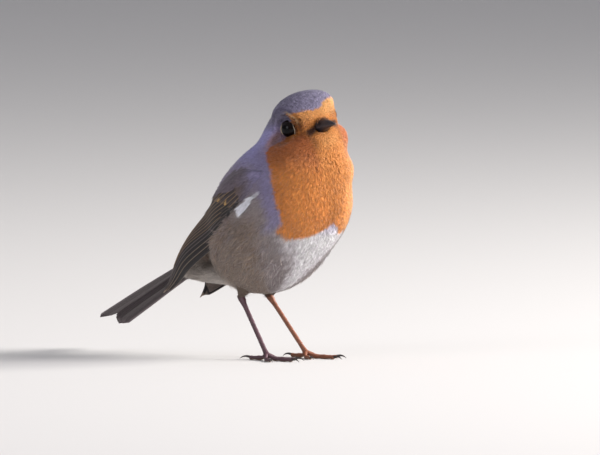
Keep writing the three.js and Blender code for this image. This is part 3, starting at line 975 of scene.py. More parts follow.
class Ground:
    """Triangles of the skin that feathers can grow from, with the skin's unwrap."""

    def __init__(self, piece):
        mesh = piece.data
        mesh.calc_loop_triangles()
        count = len(mesh.loop_triangles)
        corners = np.empty(count * 3, np.int32)
        loops = np.empty(count * 3, np.int32)
        mesh.loop_triangles.foreach_get("vertices", corners)
        mesh.loop_triangles.foreach_get("loops", loops)
        p = places(piece) / MM - SHIFT
        uv = np.empty(len(mesh.loops) * 2)
        mesh.uv_layers["OFBake"].data.foreach_get("uv", uv)
        self.p = p[corners.reshape(-1, 3)]
        self.uv = uv.reshape(-1, 2)[loops.reshape(-1, 3)]
        a, b, c = self.p[:, 0], self.p[:, 1], self.p[:, 2]
        self.area = np.linalg.norm(np.cross(b - a, c - a), axis=1) / 2
        self.middle = self.p.mean(axis=1)

    def roots(self, density):
        """Places spread over the skin, about density(place) of them per square mm."""
        wanted = self.area * density(self.middle)
        count = np.floor(wanted + random.random(len(wanted))).astype(int)
        chosen = np.repeat(np.arange(len(wanted)), count)
        a, b = random.random((2, len(chosen)))
        flip = a + b > 1
        a, b = np.where(flip, 1 - a, a), np.where(flip, 1 - b, b)
        weights = np.stack([1 - a - b, a, b], axis=1)[:, :, None]
        return (self.p[chosen] * weights).sum(1), (self.uv[chosen] * weights).sum(1)


ground = Ground(skin)
BILL_SOURCE = in_head(0, 8.5, -2)  # where the coat's lie starts
TAIL_SINK = at(0, -36, 34)  # and where it ends


def lie(p, normal):
    """The lie of the coat: from the bill back over the head and body to the tail, and down the thighs."""
    away = p - BILL_SOURCE
    far = np.linalg.norm(away, axis=1, keepdims=True)
    way = unit(away) * (14 / (far + 4)) + unit(TAIL_SINK - p)
    flank = smoothstep(p[:, 2], 62, 50) * smoothstep(np.abs(p[:, 0]), 8, 17)
    way = way + flank[:, None] * at(0, 0, -0.45)
    for leg in LEGS:
        near = smoothstep(thigh_room(p, leg), 4, 1) * smoothstep(p[:, 2], 34, 27)
        way = lerp(way, np.array([0.0, 0.35, -1.0]), near[:, None])
    way = level_with(normal, way)
    for name, centre in eye_centre.items():
        out = p - centre
        out = out - (out @ eye_axis[name])[:, None] * eye_axis[name]
        near = smoothstep(np.linalg.norm(p - centre, axis=1), 7, 4.2)
        out = unit(out)
        inwards = np.minimum((way * out).sum(1), 0)
        way = unit(way - out * (inwards * 1.15 * near)[:, None] + out * (0.25 * near)[:, None])
    return level_with(normal, way)


def turned_in_plane(way, normal, angle):
    """Directions turned round the normals by an angle each."""
    across = np.cross(normal, way)
    return way * np.cos(angle)[:, None] + across * np.sin(angle)[:, None]


PATCH_HALF_WIDTH, PATCH_LENGTH = 0.0015, 0.003  # of each feather's own patch, on a map of size 1


def map_patch(uv, s, t):
    """Each feather's patch of the map: a small rectangle round its root's place on it."""
    patch = np.stack([np.clip(s, -1, 1) * PATCH_HALF_WIDTH, (t - 0.5) * PATCH_LENGTH], axis=-1)
    return uv[:, None, :] + patch[None]


def grow(name, kind, roots, uv, normal, way, length, width, lift, tints, bend, form):
    """Plumes or barbs rooted at the places, as one joined mesh with a patch of the map for each.
    They follow the form: lift is how far the tip ends up above the root's own depth."""
    corners, faces = BLANKS[kind]
    s, t, b = corners.T
    across = np.cross(normal, way)
    start = form(roots)
    rows = np.unique(np.round(t, 3))
    drop = {}
    for row in rows:
        fall = form(roots + way * (length * row)[:, None]) - start
        drop[row] = np.clip(fall, -0.5 * length * row, 0.5 * length * row)
    out = np.empty((len(roots), len(t), 3))
    for i in range(len(t)):
        row = round(float(t[i]), 3)
        height = lift * (1 - (1 - row) ** 2) - 0.2 * (1 - row) - drop[row] + b[i] * width
        sideways = s[i] * width + bend * row * row * length
        out[:, i] = (
            roots
            + way * (length * row)[:, None]
            + across * sideways[:, None]
            + normal * height[:, None]
        )
    # painted shade: each feather darker towards its root, where the feathers over it shade it, a little
    # lighter at its tip
    shade = lerp(0.72, 1.05, np.clip(t, 0, 1))
    full = tints[:, None, :] * shade[None, :, None]
    piece = mesh_of(name, out, faces, full, map_patch(uv, s, t))
    piece.data.materials.append(COAT)
    return piece


BLANKS = {"barb": blank(barb_blank), "plume": blank(plume_blank), "flight": blank(flight_blank)}


# ---------------------------------------------------------------- wings
UPPER_EDGE = [  # of the folded left wing, from the wrist to the tip, as (left, forward, up)
    (17, 22, 74), (13.5, 12, 76), (10, -3, 69.5), (8.6, -13, 60.5),
    (8.6, -24, 49), (9.6, -34, 36), (11.2, -38.6, 26),
]
LOWER_EDGE = [
    (18, 23.5, 69), (20.5, 14, 56.5), (21.5, 6, 49.5), (20.5, -3.5, 42.3),
    (17.4, -19.5, 33.4), (14, -29, 27.6), (11.8, -38.4, 23.2),
]
WING_ARCH = [[0, 1], [0.3, 2.2], [0.7, 2.6], [1, 0.2]]  # how far it bulges out, wrist to tip
WING_SINK = 0.9  # how far it may lie inside the plumage's form
WING_THICKNESS = 2.2
LEFT_WING_DROP = 2.8  # how much lower the left wing's tip hangs
LEFT_WING_REACH = 3.6  # and how much further back


def curve_through(points, t):
    """A centripetal Catmull-Rom curve through the places, read at t from 0 to 1."""
    p0, p1, p2, p3, w = round_span(np.array([at(*q) for q in points]), t)
    pairs = ((p0, p1), (p1, p2), (p2, p3))
    d0, d1, d2 = (np.linalg.norm(b - a, axis=1, keepdims=True) ** 0.5 for a, b in pairs)
    m1 = ((p1 - p0) / d0 - (p2 - p0) / (d0 + d1) + (p2 - p1) / d1) * d1
    m2 = ((p2 - p1) / d1 - (p3 - p1) / (d1 + d2) + (p3 - p2) / d2) * d1
    return bridge(p1, m1, p2, m2, w)


class Wing:
    """The folded left wing's outer face, as a function of u from wrist to tip and v from the upper
    to the lower edge."""

    def __init__(self, rows=81, columns=33):
        u = np.linspace(0, 1, rows)
        v = np.linspace(0, 1, columns)
        top = curve_through(UPPER_EDGE, u)
        low = curve_through(LOWER_EDGE, u)
        step = 1e-3
        along = sum(
            unit(curve_through(e, np.clip(u + step, 0, 1)) - curve_through(e, np.clip(u - step, 0, 1)))
            for e in (UPPER_EDGE, LOWER_EDGE)
        )
        across = low - top
        outward = unit(np.cross(along, across))
        outward *= np.sign(outward[:, :1])
        vv = v[None, :, None]
        reach = eased(WING_ARCH, u)[:, None, None] * 4 * vv * (1 - vv)
        p = top[:, None] + across[:, None] * vv + outward[:, None] * reach
        flat = p.reshape(-1, 3)
        for _ in range(300):
            inside = plumage(flat) < -WING_SINK
            if not inside.any():
                break
            flat[inside, 0] += 0.1
        p = flat.reshape(p.shape)
        rim = 1 - np.abs(2 * v - 1) ** 4
        half = WING_THICKNESS / 2 * lerp(0.4, 1, rim)[None] * lerp(1, 0.45, smoothstep(u, 0.6, 1))[:, None]
        face = p + outward[:, None] * half[:, :, None]
        for _ in range(6):
            inner = face.copy()
            inner[1:-1] = (face[:-2] + 2 * face[1:-1] + face[2:]) / 4
            inner[:, 1:-1] = (inner[:, :-2] + 2 * inner[:, 1:-1] + inner[:, 2:]) / 4
            face = inner
        self.face = face
        du, dv = np.gradient(face, axis=0), np.gradient(face, axis=1)
        normal = unit(np.cross(du, dv))
        normal *= np.sign(normal[..., :1])
        self.normal = normal
        self.rows, self.columns = rows, columns
        self.width = np.linalg.norm(across, axis=1)
        self.length = np.linalg.norm(du[:, columns // 2], axis=1) * (rows - 1)
        self.u = u

    def on(self, u, v, height):
        """Places at that height over the face, and the face's normals; u and v may run past its
        edges."""
        grid = self.face
        x = np.clip(u, 0, 1) * (self.rows - 1)
        y = np.clip(v, 0, 1) * (self.columns - 1)
        i = np.minimum(x.astype(int), self.rows - 2)
        j = np.minimum(y.astype(int), self.columns - 2)
        a, b = (x - i)[..., None], (y - j)[..., None]

        def read(g):
            upper = g[i, j] * (1 - a) + g[i + 1, j] * a
            lower = g[i, j + 1] * (1 - a) + g[i + 1, j + 1] * a
            return upper * (1 - b) + lower * b

        place = read(grid)
        edge = (grid[i, 1] - grid[i, 0]) * (self.columns - 1)
        far_edge = (grid[i, -1] - grid[i, -2]) * (self.columns - 1)
        place = place + edge * np.minimum(v, 0)[..., None] * 0.8
        place = place + far_edge * np.maximum(v - 1, 0)[..., None] * 0.8
        ahead = (grid[-1] - grid[-3])[j] * (self.rows - 1) / 2
        place = place + ahead * np.maximum(u - 1, 0)[..., None]
        behind = (grid[2] - grid[0])[j] * (self.rows - 1) / 2
        place = place + behind * np.minimum(u, 0)[..., None]
        normal = unit(read(self.normal))
        return place + normal * np.asarray(height)[..., None], normal

    def across(self, u):
        """The wing's width there."""
        return np.interp(u, self.u, self.width)


wing = Wing()


def wing_relief(u, v):
    """How far the folded wing's feathers are pulled in at its upper and front edges."""
    return -1.4 * smoothstep(v, 0.5, 0.05) - 0.7 * smoothstep(u, 0.16, -0.02)


def vane_width(t, length, width):
    """Half width along a flight feather: narrow at the quill, even, and round at the tip."""
    tip = np.clip(1.5 * width / length, 0.04, 0.5)
    quill = smoothstep(t, -0.05, 0.16) * 0.6 + 0.4
    over = np.clip((t - (1 - tip)) / tip, 0, 1)
    return width * quill * np.sqrt(np.maximum(1 - over**2, 0))


WEB_SPAN = 40  # mm of feather along the web map's whole height


def web_map(s, t, length):
    """The flat map of a flight feather's web."""
    return np.stack([(s + 1) / 2, t * length / WEB_SPAN], axis=-1)


def shaft_bump(s):
    """A ridge, 1 high, along a feather's shaft."""
    return np.exp(-((s / 0.09) ** 2))


def wing_feather(root, tip, webs, height, colours, sag, tip_mark=False):
    """One flight feather on the left wing, from root to tip as (u, v), with its lower and upper web's
    half widths. Gives corners, tints and web map, in the blank's own order."""
    corners, _ = BLANKS["flight"]
    s, t, _ = corners.T
    u = lerp(root[0], tip[0], t)
    v = lerp(root[1], tip[1], t) + sag * np.sin(np.pi * t)
    ends, _ = wing.on(np.array([root[0], tip[0]]), np.array([root[1], tip[1]]), np.zeros(2))
    length = float(np.linalg.norm(ends[:1] - ends[1:]))
    half = np.where(s > 0, vane_width(t, length, webs[0]), vane_width(t, length, webs[1]))
    shift = s * half / wing.across(np.clip(u, 0, 0.93))
    lean = np.where(s > 0, 0.12 * s, 0.28 * s)
    v = np.maximum(v + shift, 0.004 * t)
    p, _ = wing.on(u, v, height + lean * np.abs(s) + 0.1 * shaft_bump(s) + wing_relief(u, v))
    centre, edge, edge_width = colours
    fringe = smoothstep(s, 1 - edge_width, 1 - edge_width * 0.35)
    tip_fringe = smoothstep(t, 0.9, 0.93) if tip_mark else smoothstep(t, 0.975, 0.995)
    if tip_mark:
        edge = np.where(tip_fringe[:, None] > 0.01, edge, BUFF_EDGE)
    mask = np.maximum(fringe * smoothstep(t, 0.02, 0.2), tip_fringe * 0.8)
    stripe = np.exp(-((s / 0.06) ** 2)) * 0.35
    shade = (0.86 + 0.14 * t)[:, None]
    colour = (centre * shade) * (1 - mask[:, None]) + edge * mask[:, None]
    colour = colour * (1 - stripe[:, None]) + centre * 0.5 * stripe[:, None]
    return p, colour, web_map(s, t, length)


WING_LINING = paint(104, 94, 90)
DARK = paint(42, 36, 37)
DARKER = paint(31, 27, 29)
BUFF_EDGE = paint(176, 146, 112)
GREY_EDGE = paint(126, 110, 98)
PALE_EDGE = paint(176, 154, 134)
COVERT = paint(66, 56, 56)
BUFF_TIP = paint(214, 170, 104)
TERTIAL_EDGE = paint(150, 132, 112)
LILAC_EDGE = paint(152, 138, 134)
SCAPULAR = paint(144, 134, 156)
LESSER = paint(122, 107, 104)


PRIMARY_TIPS = [  # (u, v) of their tips on the wing, the lowest feather first
    (0.97, 0.93), (1.0, 0.76), (1.02, 0.6), (1.01, 0.46),
    (0.985, 0.36), (0.95, 0.28), (0.92, 0.22), (0.89, 0.18),
]


def wing_feathers():
    """All flight feathers and large coverts of the left wing, each row lying over the one before."""
    made = []

    def lay(*feather):
        made.append(wing_feather(*feather))

    for i, tip in enumerate(PRIMARY_TIPS):
        edge = PALE_EDGE if i in (1, 2) else LILAC_EDGE if i > 2 else GREY_EDGE
        root = (0.22 + 0.01 * i, 0.97 - 0.035 * i)
        lay(root, tip, (0.95, 2.4), -0.95 + 0.07 * i, (DARKER, edge, 0.18), 0.03)
    for i in range(6):  # secondaries
        root, tip = (0.16, 0.88 - 0.06 * i), (0.85 - 0.008 * i, 0.36 - 0.05 * i)
        lay(root, tip, (1.0, 2.8), -0.38 + 0.07 * i, (DARK, BUFF_EDGE, 0.2), 0.04)
    for i in range(3):  # tertials
        root, tip = (0.16, 0.53 - 0.09 * i), (0.8 - 0.1 * i, 0.12 - 0.01 * i)
        lay(root, tip, (2.0, 1.9), -0.05 + 0.07 * i, (DARK, TERTIAL_EDGE, 0.14), 0.02)
    for i in range(5):  # primary coverts
        root, tip = (0.08, 0.97 - 0.03 * i), (0.35 - 0.012 * i, 0.9 - 0.04 * i)
        lay(root, tip, (0.7, 1.2), -0.4 + 0.07 * i, (DARKER, GREY_EDGE, 0.2), 0.0)
    for i in range(3):  # the false wing
        root, tip = (0.05, 0.95 - 0.03 * i), (0.19 + 0.04 * i, 0.99 - 0.045 * i)
        lay(root, tip, (0.9, 1.2), -0.15 + 0.09 * i, (DARKER, GREY_EDGE, 0.2), 0.0)
    for i in range(9):  # greater coverts
        root, tip = (0.02, 0.86 - 0.085 * i), (0.2 + 0.033 * i, 0.88 - 0.085 * i)
        spotted = i in (2, 4)
        colours = (COVERT, BUFF_TIP if spotted else BUFF_EDGE, 0.24)
        lay(root, tip, (0.95, 1.7), -0.05 + 0.02 * i, colours, 0.01, spotted)
    return made


def hang(p):
    """Lets the left wing's tip hang a little lower and further back than the right one's."""
    lower = smoothstep(p[..., 1], 5, 38) * (p[..., 0] > 0)
    return p + lower[..., None] * np.array([0, LEFT_WING_REACH, -LEFT_WING_DROP])


def make_wing(name, side):
    """A folded wing: its feathers, and a lining under them."""
    made = wing_feathers()
    corners = np.array([m[0] for m in made]) * [side, 1, 1]
    corners = hang(corners)
    tints = np.array([m[1] for m in made]) * random.uniform(0.9, 1.1, (len(made), 1, 1))
    web = np.array([m[2] for m in made])
    _, faces = BLANKS["flight"]
    if side < 0:
        faces = [face[::-1] for face in faces]
    piece = mesh_of(f"wing_feathers_{name}", corners, faces, tints, web, "web")
    piece.data.materials.append(FLIGHT)
    apply(piece, "SOLIDIFY", thickness=0.09 * MM, offset=-1)
    smooth(piece)
    place_on_body(piece, "flight_feathers", f"wing_{name}")
    bpy.ops.object.select_all(action="DESELECT")
    bpy.ops.mesh.primitive_grid_add(x_subdivisions=40, y_subdivisions=12, size=2)
    base = bpy.context.object
    base.name = f"wing_base_{name}"
    p = places(base)
    u, v = (p[:, 0] + 1) / 2 * 0.93, (p[:, 1] + 1) / 2 * 0.94 + 0.03
    v = 0.04 + 0.96 * v
    q, _ = wing.on(u, v, -1.3 + 0.5 * wing_relief(u, v))
    q = hang(q * [side, 1, 1])
    put(base, to_row(q))
    outwards(base)
    apply(base, "SOLIDIFY", thickness=0.5 * MM, offset=0)
    lining = np.tile(WING_LINING, (len(base.data.vertices), 1))
    complete(base, lining, SKIN, "flight_feathers", f"wing_{name}")


for name, side in SIDES.items():
    make_wing(name, side)


# ---------------------------------------------------------------- tail
tail_turn = turned(-TAIL_PITCH, "X") @ turned(TAIL_ROLL + 5, "Y")
tail_root = at(0, -27, 39.2)
TAIL_FEATHER = paint(64, 55, 58)
TAIL_EDGE = paint(122, 110, 114)
TAIL_FEATHERS = [  # length, and half widths of the outer and inner web, the middle pair first
    (56.2, 2.5, 2.5), (57.6, 2.2, 2.6), (59, 2.0, 2.7), (60.2, 1.8, 2.8), (60.6, 1.7, 2.8), (59.4, 1.5, 2.8),
]


def make_tail():
    """Six pairs of tail feathers, the middle pair on top."""
    corners, faces = BLANKS["flight"]
    s, t, _ = corners.T
    made, tints, webs = [], [], []
    for pair, (length, outer, inner) in enumerate(TAIL_FEATHERS):
        for side in (-1, 1):
            root_x = side * (0.35 + 0.6 * pair)
            tip_x = side * (1.1 + 0.84 * pair)
            web_out = side * s
            half = np.where(web_out > 0, vane_width(t, length, outer), vane_width(t, length, inner))
            half = half * lerp(0.62, 1, smoothstep(t, 0.1, 0.75))
            x = lerp(root_x, tip_x, t**1.2) + s * half
            y = t * length
            thick = lerp(1.0, 0.42, smoothstep(t, 0, 0.6))
            layer = (2.5 - pair) / 2.5 * thick
            roof = -0.02 * x**2
            curl = -0.28 * np.abs(s) ** 1.5
            z = layer + roof + curl + 0.08 * shaft_bump(s) - 0.02 * side
            p = np.stack([x, y, z], axis=-1) @ tail_turn.T + tail_root
            made.append(p)
            edge = smoothstep(web_out, 0.45, 0.85) * (0.9 if pair == 5 else 0.55)
            tip = smoothstep(t, 0.955, 0.99) * smoothstep(np.abs(s), 1.0, 0.2) * 0.9
            mask = np.maximum(edge, tip)[:, None]
            stripe = (np.exp(-((s / 0.07) ** 2)) * 0.4)[:, None]
            colour = (TAIL_FEATHER * lerp(0.9, 1.05, t)[:, None]) * (1 - mask) + TAIL_EDGE * mask
            colour = colour * (1 - stripe) + TAIL_FEATHER * 0.5 * stripe
            tints.append(colour * random.uniform(0.92, 1.08))
            webs.append(web_map(s, t, length))
    piece = mesh_of("tail_feathers", np.array(made), faces, np.array(tints), np.array(webs), "web")
    piece.data.materials.append(FLIGHT)
    apply(piece, "SOLIDIFY", thickness=0.1 * MM, offset=0)
    smooth(piece)
    place_on_body(piece, "tail_feathers", "tail")


make_tail()


# ---------------------------------------------------------------- eyes
def make_eyeball(name):
    """A dark ball with a slightly bulging front."""
    bpy.ops.object.select_all(action="DESELECT")
    bpy.ops.mesh.primitive_uv_sphere_add(segments=48, ring_count=32, radius=1)
    ball = bpy.context.object
    ball.name = f"eyeball_{name}"
    p = places(ball)
    facing = p[:, 2]
    cornea = 1 + 0.05 * smoothstep(facing, 0.62, 0.95)
    p = p * (cornea * EYE_RADIUS)[:, None]
    put(ball, to_row(eye_centre[name] + p @ np.stack(eye_frame(name))))
    angle = np.degrees(np.arccos(np.clip(facing, -1, 1)))
    iris = smoothstep(angle, 29, 33)[:, None]
    complete(ball, PUPIL * (1 - iris) + IRIS * iris, EYE, "eye", f"eye_{name}")


def make_eye_ring(name, side):
    """The beaded rim of the lids round the eye's oval opening, pale on its lower part."""
    bpy.ops.object.select_all(action="DESELECT")
    bpy.ops.mesh.primitive_torus_add(major_segments=72, minor_segments=10, major_radius=1, minor_radius=0.1)
    rim = bpy.context.object
    rim.name = f"eye_ring_{name}"
    p = places(rim)
    around = np.arctan2(p[:, 1], p[:, 0])
    reach = np.hypot(p[:, 0], p[:, 1])
    minor = np.stack([reach - 1, p[:, 2]], axis=-1) / 0.1
    beads = 1 + 0.14 * np.cos(around * 22)
    ring = OPENING + 0.04 + minor[:, 0] * 0.2 * beads
    ring = ring * (1 + 0.05 * np.exp(-((np.sin(around) + 0.05) / 0.3) ** 2))
    seat = math.sqrt(EYE_RADIUS**2 - OPENING**2)
    height = seat + 0.1 + minor[:, 1] * 0.2 * beads
    oval = oval_at(np.arctan2(np.sin(around), np.cos(around) * side))
    height = height + (np.sqrt(EYE_RADIUS**2 - (OPENING * oval) ** 2) - seat)
    ring = ring * oval
    local = np.stack([ring * np.cos(around), ring * np.sin(around), height], axis=-1)
    put(rim, to_row(eye_centre[name] + local @ np.stack(eye_frame(name))))
    pale = (smoothstep(minor[:, 0], 0.95, 0.1) * smoothstep(np.sin(around), 0.75, 0.2))[:, None]
    complete(rim, RING_DARK * (1 - pale) + RING_PALE * pale, RIM, "eye", f"eye_{name}")


PUPIL, IRIS = paint(6, 5, 6), paint(22, 14, 12)
RING_DARK, RING_PALE = paint(50, 38, 36), paint(204, 184, 158)
for name, side in SIDES.items():
    make_eyeball(name)
    make_eye_ring(name, side)


# ---------------------------------------------------------------- bill
NOSTRIL_AHEAD, NOSTRIL_UP = 9.6, 1.35  # in the head's frame, and over the gape line


def spot_at(ahead, up, middle, reach):
    """1 at a spot on the bill's side, fading round it."""
    return np.exp(-(((ahead - middle[0]) / reach[0]) ** 2) - ((up - middle[1]) / reach[1]) ** 2)


def make_bill(half):
    """One half of the bill; the upper one has nostrils."""
    is_upper = half == "upper"
    piece = rod(f"bill_horn_{half}", 28, 30)
    p = places(piece)
    t = np.clip(p[:, 2] + 0.5, 0, 1)
    ring = np.hypot(p[:, 0], p[:, 1])
    around = np.arctan2(p[:, 1], p[:, 0])
    x, z = np.cos(around) * ring, np.sin(around) * ring
    x = np.sign(x) * np.abs(x) ** 0.85
    high = np.where(z > 0, eased(CULMEN if is_upper else GONYS, t) * np.abs(z), 0.1 * z)
    wide = eased(BILL_WIDTH, t) * (1 if is_upper else 0.9)
    waist = 1 - 0.1 * np.exp(-(((z - 0.45) / 0.3) ** 2)) * smoothstep(t, 0.2, 0.5)
    reach = BILL_TIP if is_upper else BILL_TIP - 0.7
    line = bill_line(t)
    up = line + (1 if is_upper else -1) * (0.05 + high)
    left = x * wide * waist
    ahead = lerp(BILL_ROOT - 1.0, reach, t)
    if is_upper:
        over = up - line
        left = left - np.sign(x) * 0.5 * spot_at(ahead, over, (NOSTRIL_AHEAD, NOSTRIL_UP), (1.0, 0.42))
        left = left + np.sign(x) * 0.1 * spot_at(ahead, over, (9.5, 2.0), (1.6, 0.3))
    put(piece, to_row(in_head_many(np.stack([left, ahead, up], axis=-1))))
    outwards(piece)
    h = to_head(places(piece) / MM - SHIFT)
    t = along_bill(h)
    over = h[:, 2] - bill_line(t)
    pale = smoothstep(np.abs(over), 0.5, 0.1) * 0.5
    pale = np.maximum(pale, smoothstep(t, 0.25, 0.0) * 0.35)
    colour = BILL_HORN + (BILL_PALE - BILL_HORN) * pale[:, None]
    if is_upper:
        # hole: painted shade in the nostril's hollow
        hole = spot_at(h[:, 1], over, (NOSTRIL_AHEAD, NOSTRIL_UP), (0.9, 0.4))
        colour = colour * (1 - 0.75 * hole)[:, None]
        rim = spot_at(h[:, 1], over, (9.5, 0.75), (1.5, 0.3))
        colour = colour + (BILL_PALE - colour) * (0.7 * rim)[:, None]
    complete(piece, colour, BILL, "bill", f"bill_{half}")


make_bill("upper")
make_bill("lower")


# ---------------------------------------------------------------- legs
# painted light and shade: one skin colour, painted lighter and warmer on the left leg, which faces the
# light, and darker and cooler on the right leg, in shade
LEG_SKIN = {"left": paint(136, 84, 60), "right": paint(94, 68, 74)}
SOLE = paint(140, 110, 84)
CLAW_HORN = paint(44, 36, 34)
TOE_SPACING = 1.75
PAD_DEPTH = 0.72
TOES = {
    # degrees outwards from straight ahead, place beside the middle toe, length, claw, radius
    "hind": (176, 0, 8.6, 6, 0.95),
    "inner": (-27, -1, 9.8, 4, 0.74),
    "middle": (3, 0, 14.2, 4.6, 0.82),
    "outer": (31, 1, 10.8, 3.8, 0.74),
}


def toe_joint_of(leg):
    """Where the shank meets the toes."""
    side, splay = LEGS[leg]
    drop = HEEL_UP - TOE_JOINT_UP
    ahead = math.sqrt(TARSUS_LENGTH**2 - drop**2 - splay**2)
    return at(side * (HEEL_SIDE + splay), HEEL_FORWARD + ahead, TOE_JOINT_UP)


def bend_along(piece, points, radii, front, relief):
    """Bends a bar along a curve through the places; radii(t) gives its half sizes sideways and
    to the front, relief(t, around) swells or dents it. Gives the bar's corners, how far each is
    along it, and its angle round from the front."""
    p = places(piece)
    t = np.clip(p[:, 2] + 0.5, 0, 1)
    ring = np.hypot(p[:, 0], p[:, 1])
    around = np.arctan2(p[:, 0], p[:, 1])
    path = smooth_path(points, t)
    after, before = (smooth_path(points, np.clip(t + step, 0, 1)) for step in (0.01, -0.01))
    ahead = unit(after - before)
    side = unit(np.cross(ahead, np.tile(front, (len(t), 1))))
    face = np.cross(side, ahead)
    across, deep = radii(t)
    swell = relief(t, around)
    q = path + side * (np.sin(around) * ring * (across + swell))[:, None]
    q = q + face * (np.cos(around) * ring * (deep + swell))[:, None]
    return q, t, around


def smooth_path(points, t):
    """A smooth curve through the places, read at t from 0 to 1; two places give a straight line."""
    if len(points) == 2:
        return points[0] + (points[1] - points[0]) * t[:, None]
    p0, p1, p2, p3, w = round_span(np.array(points), t)
    return bridge(p1, (p2 - p0) / 2, p2, (p3 - p1) / 2, w)


def scute(phase):
    """A row of overlapping plates: each rises gently and ends in a step."""
    saw = phase - np.floor(phase)
    return saw - smoothstep(saw, 0.86, 1.0)


def make_shank(leg):
    """The bare shank, with a row of plates down its front."""
    piece = rod(f"shank_skin_{leg}", 24, 110)
    heel, joint = heel_of(leg), toe_joint_of(leg)
    along = unit(joint - heel)
    points = [heel - along * 1.4 + at(0, 0.2, 0), joint + along * 0.4]

    def radii(t):
        knob = 1 + 0.6 * np.exp(-(((t - 0.04) / 0.1) ** 2)) + 0.35 * np.exp(-(((t - 1) / 0.08) ** 2))
        return 0.74 * knob, 0.96 * knob

    def plates(t):
        return scute(t * 8 + 0.2 * np.sin(t * 31))

    def relief(t, around):
        front = smoothstep(np.cos(around), -0.1, 0.5)
        back = smoothstep(np.cos(around), -0.3, -0.9)
        knobs = np.sin(t * 75) * np.sin(around * 9) * 0.03
        return 0.11 * plates(t) * front + knobs * (1 - front) - 0.04 * back

    q, t, around = bend_along(piece, points, radii, at(0, 1, 0.0), relief)
    put(piece, to_row(q))
    front = smoothstep(np.cos(around), 0, 0.7)
    step = smoothstep(plates(t), 0.02, 0.16)
    colour = LEG_SKIN[leg] * (0.8 + 0.3 * front * step)[:, None]
    colour = colour * lerp(0.75, 1.0, smoothstep(t, 0.0, 0.14))[:, None]
    complete(piece, colour, LEG, "leg_skin", f"shank_{leg}")


UPWARDS = at(0, 0, 1)
JUST_OVER_THE_FLOOR = 0.02


def toe_line(leg, name):
    """Where a toe starts, and a way to name places by their distance and height along it."""
    turn, beside = TOES[name][:2]
    side = LEGS[leg][0]
    joint = toe_joint_of(leg)
    root = joint + at(side * beside * TOE_SPACING, 0, 0)
    way = at(side * math.sin(math.radians(turn)), math.cos(math.radians(turn)), 0)

    def place(distance, up):
        spot = root + way * distance
        spot[2] = up
        return spot

    return joint + at(side * beside * 0.5, 0, 0) + way * 0.3, place


def make_toe(leg, name):
    """A toe with plates on top and pads below."""
    length, radius = TOES[name][2], TOES[name][4]
    start, place = toe_line(leg, name)
    low = radius * PAD_DEPTH
    pads = 3 if length > 12 else 2
    rows = 7 if length > 12 else 5
    piece = rod(f"toe_skin_{leg}_{name}", 20, 76)
    points = [
        start + at(0, 0, 0.3),
        place(length * 0.3, low + 0.25),
        place(length * 0.65, low + 0.1),
        place(length + 0.1, low + 0.08),
    ]

    def radii(t):
        size = radius * lerp(1.0, 0.84, t) * (1 + 0.13 * np.cos(2 * np.pi * pads * t))
        end = np.sqrt(np.clip(1 - np.clip((t - 0.93) / 0.09, 0, 1) ** 2, 0, 1))
        return size * 0.92 * end, size * 0.92 * end

    def relief(t, around):
        top = smoothstep(np.cos(around), -0.1, 0.5)
        sole = smoothstep(np.cos(around), 0.0, -0.7)
        beads = np.sin(t * 70) * np.sin(around * 7) * 0.03
        return 0.09 * scute(t * rows) * top * smoothstep(t, 0.97, 0.9) + beads * sole

    q, t, around = bend_along(piece, points, radii, UPWARDS, relief)
    q[:, 2] = np.maximum(q[:, 2], JUST_OVER_THE_FLOOR)
    put(piece, to_row(q))
    top = smoothstep(np.cos(around), 0, 0.7)
    step = smoothstep(scute(t * rows), 0.02, 0.16)
    skin_colour = LEG_SKIN[leg] * (0.78 + 0.3 * top * step)[:, None]
    sole = smoothstep(np.cos(around), -0.2, -0.8)[:, None]
    colour = skin_colour * (1 - 0.7 * sole) + SOLE * 0.7 * sole
    complete(piece, colour, LEG, "leg_skin", f"toe_{leg}_{name}")


def make_claw(leg, name):
    """A curved claw, grooved along its lower sides, whose tip comes down to the floor."""
    length, claw, radius = TOES[name][2:]
    _, place = toe_line(leg, name)
    low = radius * PAD_DEPTH
    piece = rod(f"claw_horn_{leg}_{name}", 16, 28)
    reach = claw * 0.86
    begin = length - 0.5
    points = [
        place(begin, low + 0.1),
        place(begin + 0.8, low + 0.35),
        place(begin + 0.4 + reach * 0.42, low + 0.55),
        place(begin + 0.5 + reach * 0.76, low + 0.28),
        place(begin + 0.7 + reach, 0.14),
    ]

    def radii(t):
        taper = lerp(1, 0.1, t**1.25)
        return 0.42 * taper, 0.62 * taper

    def groove(t, around):
        return -0.05 * np.exp(-(((np.abs(around) - 2.3) / 0.35) ** 2)) * (1 - t)

    q, t, _ = bend_along(piece, points, radii, UPWARDS, groove)
    q[:, 2] = np.maximum(q[:, 2], JUST_OVER_THE_FLOOR)
    put(piece, to_row(q))
    complete(piece, CLAW_HORN * lerp(1.0, 1.5, t)[:, None], CLAW, "claw", f"claw_{leg}_{name}")


for leg in LEGS:
    make_shank(leg)
    for name in TOES:
        make_toe(leg, name)
        make_claw(leg, name)


def make_foot_ball(leg):
    """The pad where the shank meets the toes."""
    bpy.ops.object.select_all(action="DESELECT")
    bpy.ops.mesh.primitive_uv_sphere_add(segments=32, ring_count=20, radius=1)
    piece = bpy.context.object
    piece.name = f"foot_ball_{leg}"
    p = places(piece)
    bumps = 1 + 0.04 * np.sin(p[:, 0] * 11) * np.sin(p[:, 1] * 9 + 1)
    q = p * [1.75, 1.4, 1.3] * bumps[:, None] + toe_joint_of(leg)
    q[:, 2] = np.maximum(q[:, 2], 0.05)
    put(piece, to_row(q))
    complete(piece, np.tile(LEG_SKIN[leg] * 0.85, (len(q), 1)), LEG, "leg_skin")


for leg in LEGS:
    make_foot_ball(leg)


# ---------------------------------------------------------------- the coat
def eye_gap(p):
    """How far places are from the rim of the nearer eye's opening, in mm."""
    gap = np.full(len(p), 99.0)
    for name in eye_centre:
        ahead, aside = round_the_eye(p, name)
        near = np.where(ahead > 0, aside - OPENING, 99)
        gap = np.minimum(gap, near)
    return gap


